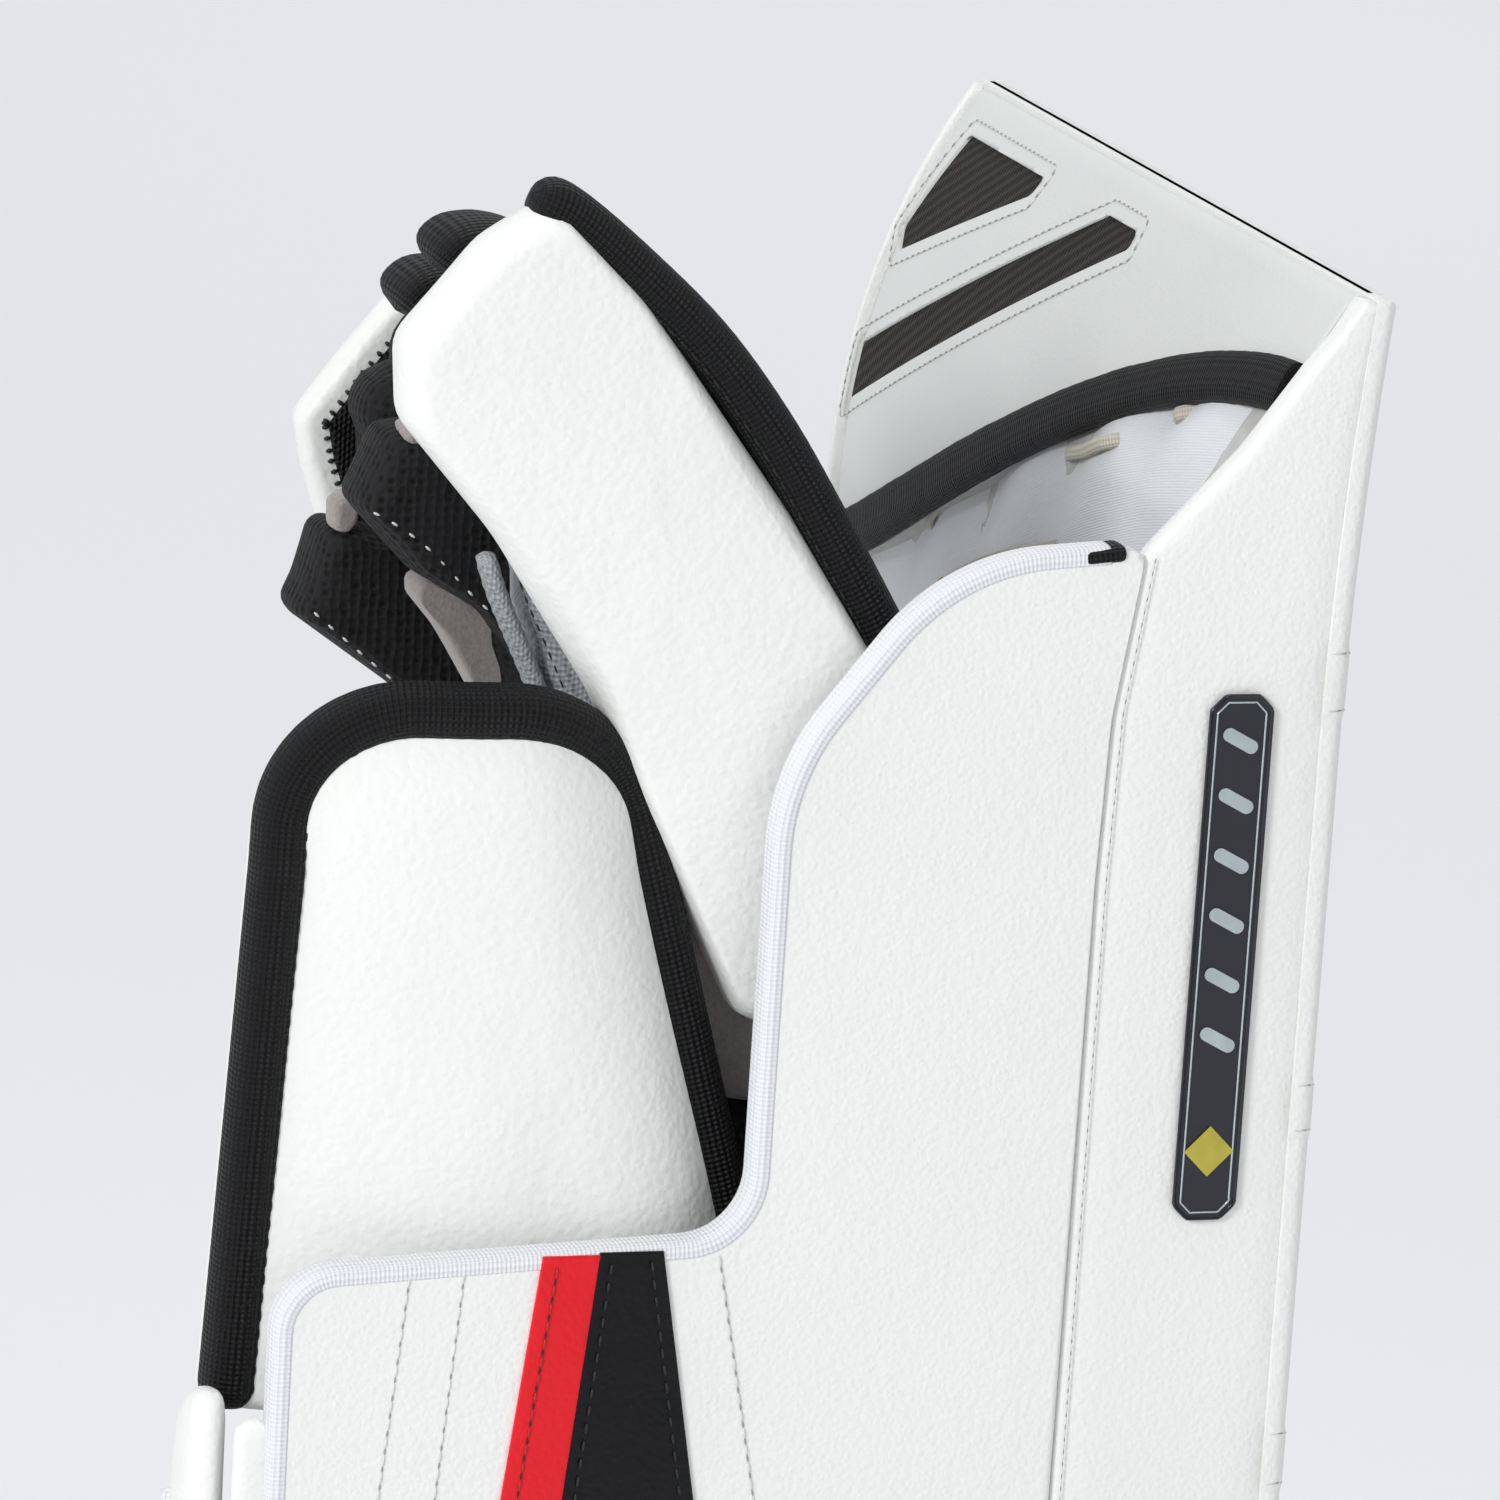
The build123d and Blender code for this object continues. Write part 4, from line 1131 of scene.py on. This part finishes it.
makeEndPanel()
makePanelCrest()
makeWindowStitching()
makeRim()
makeLiner()
makeLace()
print("end panel, rim, liner and lace made")


# Index guard.

indexGuard = {
    "corners": [
        (80, 264), (66, 288), (79, 315), (97, 342), (126, 380), (142, 395), (153, 388), (166, 371),
        (164.5, 357), (147, 337), (128, 309), (112.5, 279), (98, 252), (90, 250),
    ],
    "radii": [5, 14, 40, 60, 40, 3, 14, 7, 9, 60, 60, 60, 5, 5],
    "middle": (118, 332),
    "outer": -91.0,
    "thick": 14.0,
}


def indexCurl(y, z):
    # How far the paddle bends away from the roll towards its free edge.
    share = ((y - 79) * 0.78 - (z - 314) * 0.62) / 48
    return 6.0 * max(0.0, share) ** 2.2


def makeIndexGuard():
    outline = roundedPath(indexGuard["corners"], indexGuard["radii"], True, 1.6)

    def front(y, z):
        crown = 0.5 * noise.noise((y * 0.045, z * 0.045, 0.4)) + 0.16 * noise.noise((y * 0.16, z * 0.16, 3.4))
        return indexGuard["outer"] + indexCurl(y, z) - crown

    bm = padMesh(
        outline, indexGuard["middle"], front, lambda y,
        z: indexGuard["outer"] + indexGuard["thick"] + indexCurl(y, z), 5.0, 0.16,
    )
    guard = addPiece(
        "index_guard_pad", bm, finish["guard_leather"], "index_finger",
        ["index_guard_shell", "index_guard_foam"],
    )
    roll = [
        (64, 285), (70, 303), (78.5, 319), (90, 338), (101, 355), (113, 370), (126, 382), (138, 391.5),
        (145, 395),
    ]
    path = smoothPath([(indexGuard["outer"] + 7.0, y, z) for y, z in roll], 1.1)
    sweepRoll(
        "index_guard_roll", path, 9.6, 12.5, finish["black_binding"], "index_finger",
        ["index_guard_binding"], 2.3, (1, 0, 0), 24, True, 0.003, 3.1,
    )
    row = []
    for number in range(3, len(path) - 3):
        spot = path[number]
        ahead = (path[number + 1] - path[number - 1]).normalized()
        inward = Vector((0, -ahead.z, ahead.y)) * -1
        row.append(spot + inward * 3.3 + Vector((-5.0, 0, 0)))
    stitches(
        "index_roll_stitching", [(row, (-1, 0.4, -0.3))], blackThreadAndHoleShadow, "index_finger", 2.1,
        3.1, 0.42,
    )


makeIndexGuard()
print("index guard made")


# Thumb guard.

thumbGuard = {
    "corners": [(91, 185), (91.5, 210), (121, 312), (183.5, 312), (188.5, 185)],
    "radii": [0, 60, 32, 26, 0],
    "crest": -91.5,
    "middle": 137.0,
    "half": 53.0,
    "turn": {"drop": 14.0, "reach": 30.0},
    "thick": 9.0,
    "roll": 9.6,
}


def thumbBow(y, z):
    # The guard bows gently to its back edge and turns in sharply along its front edge.
    back = 13.5 * max(0.0, (y - thumbGuard["middle"]) / thumbGuard["half"]) ** 1.9
    near = y - 91.5 - 0.289 * max(0.0, z - 210)
    turn = thumbGuard["turn"]
    return thumbGuard["crest"] + back + turn["drop"] * min(1, max(0.0, 1 - near / turn["reach"])) ** 2.4


def makeThumbGuard():
    corners = thumbGuard["corners"]
    closed = roundedPath(corners, [2] + thumbGuard["radii"][1:4] + [2], True)

    def front(y, z):
        top = max(0.0, (z - 284) / 28)
        return thumbBow(y, z) + 3.0 * min(1, top) ** 2 + 0.5 * noise.noise((y * 0.05, z * 0.03, 2.2))

    bm = padMesh(
        closed, (137, 250), front, lambda y,
        z: thumbBow(y, z) + thumbGuard["thick"] * (0.7 if y < 112 else 1), 3.2, 0.13,
    )
    guard = addPiece(
        "thumb_guard_pad", bm, finish["guard_leather"], "thumb",
        ["thumb_guard_shell", "thumb_guard_foam"],
    )
    inset = thumbGuard["roll"] / 2 - 0.4
    outer = roundedPath(corners, thumbGuard["radii"], False, 1.1)
    flat = evenly([spot - shift for spot, shift in insetSteps(outer, inset)], 1.1)
    path = [
        Vector((thumbBow(spot.x, spot.y) + 3.2 + 2.4 * min(1, max(0, (spot.y - 280) / 28)), spot.x, spot.y))
        for spot in flat
    ]
    sweepRoll(
        "thumb_guard_roll", path, thumbGuard["roll"], 12.0, finish["black_binding"], "thumb",
        ["thumb_guard_binding"], 2.3, (1, 0, 0), 24, True, 0.003, 3.1,
    )
    row = []
    centre = Vector((0, 137, 240))
    for number in range(3, len(path) - 3):
        spot = path[number]
        ahead = (path[number + 1] - path[number - 1]).normalized()
        inward = Vector((1, 0, 0)).cross(ahead).normalized()
        if inward.dot(centre - spot) < 0:
            inward = -inward
        row.append(spot + inward * 3.3 + Vector((-4.7, 0, 0)))
    stitches(
        "thumb_roll_stitching", [(row, (-1, 0, 0))], blackThreadAndHoleShadow, "thumb", 2.1, 3.1, 0.42,
    )


makeThumbGuard()
print("thumb guard made")


# Fingers of the glove.

fingers = {
    "index": {
        "tip": (142, 372), "left": -70, "material": "grey_stretch", "slot": "black_mesh", "bulge": -3.0,
    },
    "middle": {
        "tip": (136, 366), "left": -46, "material": "black_mesh", "slot": "black_mesh", "bulge": 0.0,
    },
    "ring": {
        "tip": (136, 353), "left": -22, "material": "black_mesh", "slot": "grey_stretch", "bulge": 0.0,
    },
    "pinky": {"tip": (136, 338), "left": 2, "material": "black_mesh", "slot": "black_mesh", "bulge": 0.0},
}
knuckle = {"place": (106, 270), "radius": 19.5, "tip": 9.0, "width": 21.0, "foot": -25}


def makeFinger(name):
    finger = fingers[name]
    base, tip = Vector(knuckle["place"]), Vector(finger["tip"])
    axis = (tip - base).normalized()
    palm = Vector((axis.y, -axis.x))
    length = (tip - base).length
    centre = finger["left"] + knuckle["width"] / 2

    def place(u, v):
        run = knuckle["foot"] + (length - knuckle["foot"] + knuckle["tip"]) * u
        radius = knuckle["radius"] + (knuckle["tip"] - knuckle["radius"]) * min(1, max(0, run / length))
        tuck = min(1, max(0, (-6 - run) / 12))
        radius -= 7.5 * tuck
        beyond = max(0.0, run - length) / knuckle["tip"]
        radius *= sqrt(max(0.0, 1 - beyond ** 2))
        a, b = oval(v * 2 * pi, 2.8)
        fold = 0.45 * sin(run * 0.55 + 2.0 * a) * max(0.0, 1 - beyond) * (0.5 + 0.5 * a)
        spot = base + axis * run + palm * (a * (radius + fold) + (finger["bulge"] if a > 0 else 0))
        half = (knuckle["width"] / 2 - 5 * tuck) * sqrt(max(0.0, 1 - beyond ** 2.5))
        return (centre + b * half, spot.x, spot.y)

    bm = warpGrid(64, 40, place, (0.13, 0.08), True, lambda spot: spot - Vector((centre, *base)))
    piece = addPiece(
        name + "_finger_tube", bm, finish[finger["material"]], name + "_finger",
        [name + "_stall"],
    )
    finishMesh(piece, ("SOLIDIFY", {"thickness": 0.0012, "offset": -1.0}))


thumbTube = {
    "base": (-58, 205), "tip": (-64, 276), "radii": (14.0, 10.0), "middle": 149, "half": 12.0, "foot": -7.0,
}


def makeThumbTube():
    base, tip = Vector(thumbTube["base"]), Vector(thumbTube["tip"])
    axis = (tip - base).normalized()
    length = (tip - base).length
    wide, narrow = thumbTube["radii"]

    def place(u, v):
        run = thumbTube["foot"] + (length - thumbTube["foot"] + narrow) * u
        radius = wide + (narrow - wide) * min(1, max(0, run / length))
        beyond = max(0.0, run - length) / narrow
        a, b = oval(v * 2 * pi, 2.6)
        fold = 0.4 * sin(run * 0.5 + 1.5 * b) * max(0.0, 1 - beyond)
        spot = base + axis * run + Vector((axis.y, -axis.x)) * (
            a * (radius * sqrt(max(0.0, 1 - beyond ** 2)) + fold)
        )
        return (
            spot.x, thumbTube["middle"] + b * thumbTube["half"] * sqrt(max(0.0, 1 - beyond ** 2.5)), spot.y,
        )

    middle = Vector((base.x, thumbTube["middle"], base.y))
    bm = warpGrid(64, 40, place, (0.09, 0.08), True, lambda spot: spot - middle)
    piece = addPiece("thumb_tube", bm, finish["black_mesh"], "thumb", ["thumb_stall"])
    finishMesh(piece, ("SOLIDIFY", {"thickness": 0.0012, "offset": -1.0}))


tipRolls = {
    "middle": [(101, 340), (110, 354), (121, 368), (133, 376.5), (142, 377.5), (146.5, 373)],
    "ring": [(103, 330), (111, 343), (121, 356), (131, 363.5), (140.5, 365.3), (145.5, 360.5)],
}


def makeTipRolls():
    for name, points in tipRolls.items():
        centre = fingers[name]["left"] + knuckle["width"] / 2
        path = smoothPath([(centre, y, z) for y, z in points], 0.9)
        roll = sweepRoll(
            name + "_tip_roll", path, 8.6, 21.0, finish["black_binding"], name + "_finger",
            [name + "_guard"], 2.7, (1, 0, 0), 28, True, 0.003, 3.4,
        )


pinkyGuard = {
    "outline": [
        (129, 354), (135, 356), (144, 345), (152, 334), (150, 325), (145, 311), (136, 291), (120, 287),
        (107, 292), (113, 330),
    ],
    "radii": [4, 3, 30, 5, 12, 20, 8, 8, 8, 20],
    "rim": 5.2,
}


def makePinkyGuard():
    centre = (128, 322)
    outer = roundedPath(pinkyGuard["outline"], pinkyGuard["radii"], True, 1.2)
    bm = padMesh(outer, centre, lambda y, z: 23.6, lambda y, z: 31.5, 3.0, 0.08)
    guard = addPiece(
        "pinky_guard_pad", bm, finish["guard_leather"], "pinky_finger", ["pinky_guard"],
    )
    inner = insetRing(outer, pinkyGuard["rim"])
    bm = padMesh(
        inner, centre, lambda y, z: 22.9 + 0.3 * noise.noise((y * 0.2, z * 0.2, 1)), lambda y, z: 26.0, 1.0,
        0.07,
    )
    addPiece(
        "pinky_guard_inside", bm, finish["black_lining"], "pinky_finger",
        ["pinky_guard_lining"],
    )
    row = [(23.3, spot.x, spot.y) for spot in insetRing(outer, pinkyGuard["rim"] - 0.5)]
    stitches(
        "pinky_guard_whipping", [(row, (-1, 0, 0))], blackThreadAndHoleShadow, "pinky_finger", 1.5, 1.9,
        0.9, None, True,
    )


gussets = [
    {
        "name": "middle_palm_mesh", "body": "middle_finger", "finish": "black_mesh",
        "x": (-48, -27), "centre": (146, 333), "edge": 4,
        "outline": [
            (155, 346), (144, 348), (133, 335), (122, 306), (128, 303), (136.4, 314.2), (148.6, 321.2),
            (160.4, 333.4),
        ],
        "radii": [3, 3, 3, 3, 2, 6, 8, 2.5], "row": [
            (159.2, 333.7), (154.6, 331.4), (148.0, 326.8), (139.5, 318.4), (133, 313),
        ],
    },
    {
        "name": "ring_palm_mesh", "body": "ring_finger", "finish": "black_mesh",
        "x": (-23, -3), "centre": (148, 309), "edge": 3.5,
        "outline": [
            (158, 325), (145, 322), (134, 310), (124, 290), (135, 288), (144.2, 295.3), (163.2, 308.6),
            (161, 314),
        ],
        "radii": [3, 3, 3, 3, 3, 6, 2, 5], "row": [
            (161.2, 310.6), (158.1, 308), (152.2, 303.1), (145.3, 297.6), (139, 293.6),
        ],
    },
    {
        "name": "middle_palm_suede", "body": "middle_finger", "finish": "grey_suede",
        "x": (-40, -30), "centre": (137, 309), "edge": 1.5,
        "outline": [
            (147.5, 320.5), (141, 318), (130, 312), (122, 298), (134, 297), (142.4, 310.2), (147.3, 316),
        ],
        "radii": [1.5, 3, 5, 3, 3, 8, 2], "row": [],
    },
    {
        "name": "middle_palm_tab", "body": "middle_finger", "finish": "grey_suede",
        "x": (-47, -36), "centre": (149.5, 345.6), "edge": 1,
        "outline": [(154, 344.8), (151.5, 347.6), (147, 347.4), (144, 343.6), (149, 344)],
        "radii": [1, 1.5, 1.5, 1.5, 1.5], "row": [],
    },
    {
        "name": "ring_palm_tab", "body": "ring_finger", "finish": "grey_suede",
        "x": (-22, -14), "centre": (154.6, 326.8), "edge": 1.2,
        "outline": [
            (157.4, 328.6), (155, 330.4), (151.6, 330), (152.6, 325), (154.6, 322.8), (157.2, 323.8),
        ],
        "radii": [1.2, 1.2, 1.2, 1.2, 1.2, 1.2], "row": [],
    },
    {
        "name": "thumb_crotch_suede", "body": "root", "finish": "grey_suede",
        "x": (-74, -66), "centre": (98, 245), "edge": 2.5,
        "outline": [
            (86, 247), (86, 239), (91, 234.6), (98, 235.6), (103.5, 241), (110, 256), (117, 282),
            (109, 284), (99, 259), (94, 250),
        ],
        "radii": [2, 3, 4, 4, 4, 20, 2, 2, 20, 3], "row": [],
    },
]


def makeGussets():
    for gusset in gussets:
        near, far = gusset["x"]

        def front(y, z, near=near):
            return near + 0.5 * noise.noise((y * 0.12, z * 0.12, near))

        outline = roundedPath(gusset["outline"], gusset["radii"], True, 1.0)
        bm = padMesh(outline, gusset["centre"], front, lambda y, z, far=far: far, gusset["edge"], 0.05)
        addPiece(gusset["name"], bm, finish[gusset["finish"]], gusset["body"])
        if gusset["row"]:
            path = smoothPath([(near - 0.1, y, z) for y, z in gusset["row"]], 1.0)
            stitches(
                gusset["name"] + "_stitching", [(path, (-1, 0, 0))], threadWhite, gusset["body"],
                1.5, 3.4, 0.5,
            )
    seam = smoothPath(
        [
            (-70.2, 140.5, 332), (-70.4, 137.6, 324.2), (-70.4, 132.6, 314), (-70.4, 127, 302),
            (-70.3, 122, 290),
        ],
        1.0,
    )
    stitches(
        "index_finger_seam", [(seam, (-1, 0, 0))], blackThreadAndHoleShadow, "index_finger", 1.8, 2.6, 0.4,
    )
    edge = [(-66.0, y + 3.2, z - 1.4) for _, y, z in seam]
    sweepRoll(
        "index_finger_edge", edge, 3.4, 6.0, finish["grey_stretch"], "index_finger", (), 2.2,
        (1, 0, 0), 14, True, 0.06, 2.6,
    )


for finger in fingers:
    makeFinger(finger)
makeThumbTube()
makeTipRolls()
makePinkyGuard()
makeGussets()
print("fingers made")


# Glove body.

glove = {"low": (-68, 69), "high": (25, 131), "corner": 18, "wall": 2.6, "foot": 130, "top": 249}


def makeSleeve():
    (x0, y0), (x1, y1) = glove["low"], glove["high"]
    middle = (y0 + y1) / 2
    halves = {
        "glove_back": [(x0, middle), (x0, y0), (x1, y0), (x1, middle)],
        "glove_palm": [(x1, middle), (x1, y1), (x0, y1), (x0, middle)],
    }
    slots = {"glove_back": "black_mesh", "glove_palm": "grey_suede"}
    for node, corners in halves.items():
        ring = roundedPath(corners, [0, glove["corner"], glove["corner"], 0], False, 1.5)
        centre = Vector(((x0 + x1) / 2, middle))

        def place(u, v, ring=ring, centre=centre):
            spot = along(ring, u)
            z = glove["foot"] + (glove["top"] - glove["foot"]) * v
            hem = 1 - min(1, min(v, 1 - v) / 0.03)
            fold = 0.7 * noise.noise(
                (spot.x * 0.05, spot.y * 0.05, z * 0.09)
            ) + 0.25 * noise.noise((spot.x * 0.2, spot.y * 0.2, z * 0.25))
            inward = (centre - spot).normalized() * (0.8 - fold * (1 - hem))
            return (spot.x + inward.x, spot.y + inward.y, z)

        bm = warpGrid(
            140, 90, place, (0.16, 0.12), False, lambda spot,
            centre=centre: (spot.x - centre.x, spot.y - centre.y, 0),
        )
        piece = addPiece(node + "_cloth", bm, finish[slots[node]], "root", [node])
        finishMesh(piece, ("SOLIDIFY", {"thickness": glove["wall"] * mm, "offset": 0.0}))
    for height, name in ((glove["foot"] + 1, "glove_foot_hem"), (glove["top"] - 1, "glove_top_hem")):
        around = roundedPath([(x0, y0), (x1, y0), (x1, y1), (x0, y1)], [glove["corner"]] * 4, True, 2.0)
        path = [(spot.x, spot.y, height) for spot in around]
        sweepRoll(
            name, path, 4.2, 4.6, finish["black_binding"], "root", (), 2.6, (0, 0, 1), 14,
            False,
        )


def inflated(piece, voxel, cap):
    # Swells a closed pad as cloth under pressure, then keeps each point near its start.
    finishMesh(piece, ("REMESH", {"mode": "VOXEL", "voxel_size": voxel * mm, "use_smooth_shade": True}))
    scene = bpy.context.scene
    start = [vert.co.copy() for vert in piece.data.vertices]
    cloth = piece.modifiers.new("cloth", "CLOTH")
    cloth.settings.use_pressure = True
    cloth.settings.uniform_pressure_force = 4.0
    cloth.settings.effector_weights.gravity = 0
    for number in range(1, 21):
        scene.frame_set(number)
    result = piece.evaluated_get(bpy.context.evaluated_depsgraph_get()).data
    moved = [vert.co.copy() for vert in result.vertices]
    piece.modifiers.clear()
    scene.frame_set(1)
    for vert, first, last in zip(piece.data.vertices, start, moved):
        shift = last - first
        if shift.length > cap * mm:
            shift *= cap * mm / shift.length
        vert.co = first + shift
    finishMesh(piece, ("SUBSURF", {"levels": 1, "render_levels": 1}))
    for polygon in piece.data.polygons:
        polygon.use_smooth = True
    return piece


def padBlock(name, low, high, corner, material, body, replaced):
    # A plump block between two corners, its upright edges rounded before it is swollen.
    bm = bmesh.new()
    bmesh.ops.create_cube(bm, size=1)
    size = [high[k] - low[k] for k in range(3)]
    bmesh.ops.scale(bm, vec=size, verts=bm.verts)
    bmesh.ops.translate(bm, vec=[(high[k] + low[k]) / 2 for k in range(3)], verts=bm.verts)
    bmesh.ops.bevel(
        bm, geom=bm.edges[:], offset=corner, offset_type="OFFSET", segments=3, profile=0.5, affect="EDGES",
        material=-1,
    )
    bmesh.ops.scale(bm, vec=(mm, mm, mm), verts=bm.verts)
    return inflated(addPiece(name, bm, finish[material], body, replaced), 4.5, 3.0)


wing = {
    "corners": [(26.5, 0.4), (26.5, 150), (56, 150), (130, 105), (130, 0.4)],
    "radii": [1, 1.5, 20, 20, 1],
    "inside": 96.4,
    "outside": 100.6,
}


def makeWing():
    outline = roundedPath(wing["corners"], wing["radii"], True)
    bm = padMesh(outline, (76, 70), lambda y, z: wing["inside"], lambda y, z: wing["outside"], 1.6, 0.2)
    inflated(
        addPiece(
            "outer_wing_pad", bm, finish["white_leather"], "root",
            ["outer_wing_cover", "outer_wing_core"],
        ),
        2.5, 0.9,
    )
    edge = roundedPath(wing["corners"][1:], [0, 20, 20, 0], False, 1.6)
    path = [(98.5, spot.x, spot.y) for spot in edge]
    sweepRoll(
        "outer_wing_tape", path, 4.4, 6.6, finish["white_binding"], "root",
        ["outer_wing_binding"], 3.2, (1, 0, 0), 20,
    )


flap = {
    "corners": [(-96, 5), (-96, 195.5), (-80.5, 190), (-77, 160), (23, 125), (23, 5)],
    "radii": [3, 4, 5, 8, 10, 8],
    "inside": 187.4,
    "outside": 193.9,
    "fold": -78.5,
    "rows": (4.6, 6.8),
}


def makeFlap():
    ring = roundedPath(flap["corners"], flap["radii"], True, 2.0)
    centre = (-62, 80)
    bm = padMesh(ring, centre, lambda x, z: flap["inside"], lambda x, z: flap["outside"], 2.6, 0.2)
    # The pad is drawn facing along x, so its depth and width change places.
    for vert in bm.verts:
        vert.co = (vert.co.y, vert.co.x, vert.co.z)
    bmesh.ops.recalc_face_normals(bm, faces=bm.faces)
    pad = addPiece(
        "palm_flap_pad", bm, finish["white_leather"], "palm_flap",
        ["palm_flap_cover", "palm_flap_foam"],
    )
    inflated(pad, 3.0, 1.0)
    around = [spot for spot in ring[:-1] if spot.x > flap["fold"]]
    around.sort(key=lambda spot: atan2(spot.x - flap["fold"], spot.y - centre[1]))
    path = [(spot.x, 190.6, spot.y) for spot in evenly(around, 1.5)]
    sweepRoll(
        "palm_flap_tape", path, 2.2, 8.2, finish["white_binding"], "palm_flap",
        ["palm_flap_binding"], 3.0, (0, 1, 0), 16,
    )
    rows = []
    for inset in flap["rows"]:
        rows.append(
            ([(spot.x, 194.3, spot.y) for spot in insetRing(ring, inset) if spot.x > -76], (0, 1, 0))
        )
    stitches(
        "palm_flap_stitching", rows, threadWhite, "palm_flap", 2.1, 3.0, 0.42, paintedHoleShadow,
    )


def makeFlapFold():
    # The leather fold that joins the flap to the shield's free edge.
    path = [(-97.4, 184.6, 6 + 184 * number / 90) for number in range(91)]
    sweepRoll(
        "flap_fold", path, 6.4, 4.0, finish["white_leather"], "root", (), 2.6, (1, 0, 0),
        18,
    )


def makeStrap():
    low, high = boxMm("wrist_strap")
    y, z = (low[1] + high[1]) / 2, (low[2] + high[2]) / 2
    path = smoothPath([(high[0], y, z), (-15, y, z), (low[0], y, z)], 1.0)
    sweepRoll(
        "wrist_strap_webbing", path, high[2] - low[2], high[1] - low[1], finish["hook_loop"], "strap",
        ["wrist_strap"], 7.0, (0, 1, 0), 40, False,
    )
    edge = [[(x, high[1] + 0.05, z + side * 12.5) for x in range(-35, 5)] for side in (-1, 1)]
    stitches(
        "wrist_strap_stitching", [(row, (0, 1, 0)) for row in edge], blackThreadAndHoleShadow, "strap", 2.1,
        3.0, 0.5,
    )


makeSleeve()
padLow, padHigh = boxMm("back_hand_pad")
padBlock(
    "back_hand_cushion", [c + 1.5 for c in padLow], [c - 1.5 for c in padHigh], 6, "black_mesh",
    "root", ["back_hand_pad"],
)
makeWing()
makeFlap()
makeFlapFold()
makeStrap()
gussetLow, gussetHigh = boxMm("thumb_gusset")
gussetRing = roundedPath(
    [(86, gussetLow[2]), (86, gussetHigh[2]), (113, gussetHigh[2]), (113, gussetLow[2])], [5] * 4, True,
    1.5,
)
gussetMesh = padMesh(
    gussetRing, (100, 225), lambda y, z: -70.2 + 0.4 * noise.noise((y * 0.1, z * 0.1, 5)), lambda y,
    z: -67.5, 1.2, 0.05,
)
addPiece("thumb_gusset_mesh", gussetMesh, finish["black_mesh"], "root", ["thumb_gusset"])
print("glove body made")

for node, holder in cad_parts.items():
    slot = holder.data.materials[0].name.split(".")[0] if holder.data.materials else None
    if slot in finish:
        holder.data.materials[0] = finish[slot]
print("carried-over nodes finished")
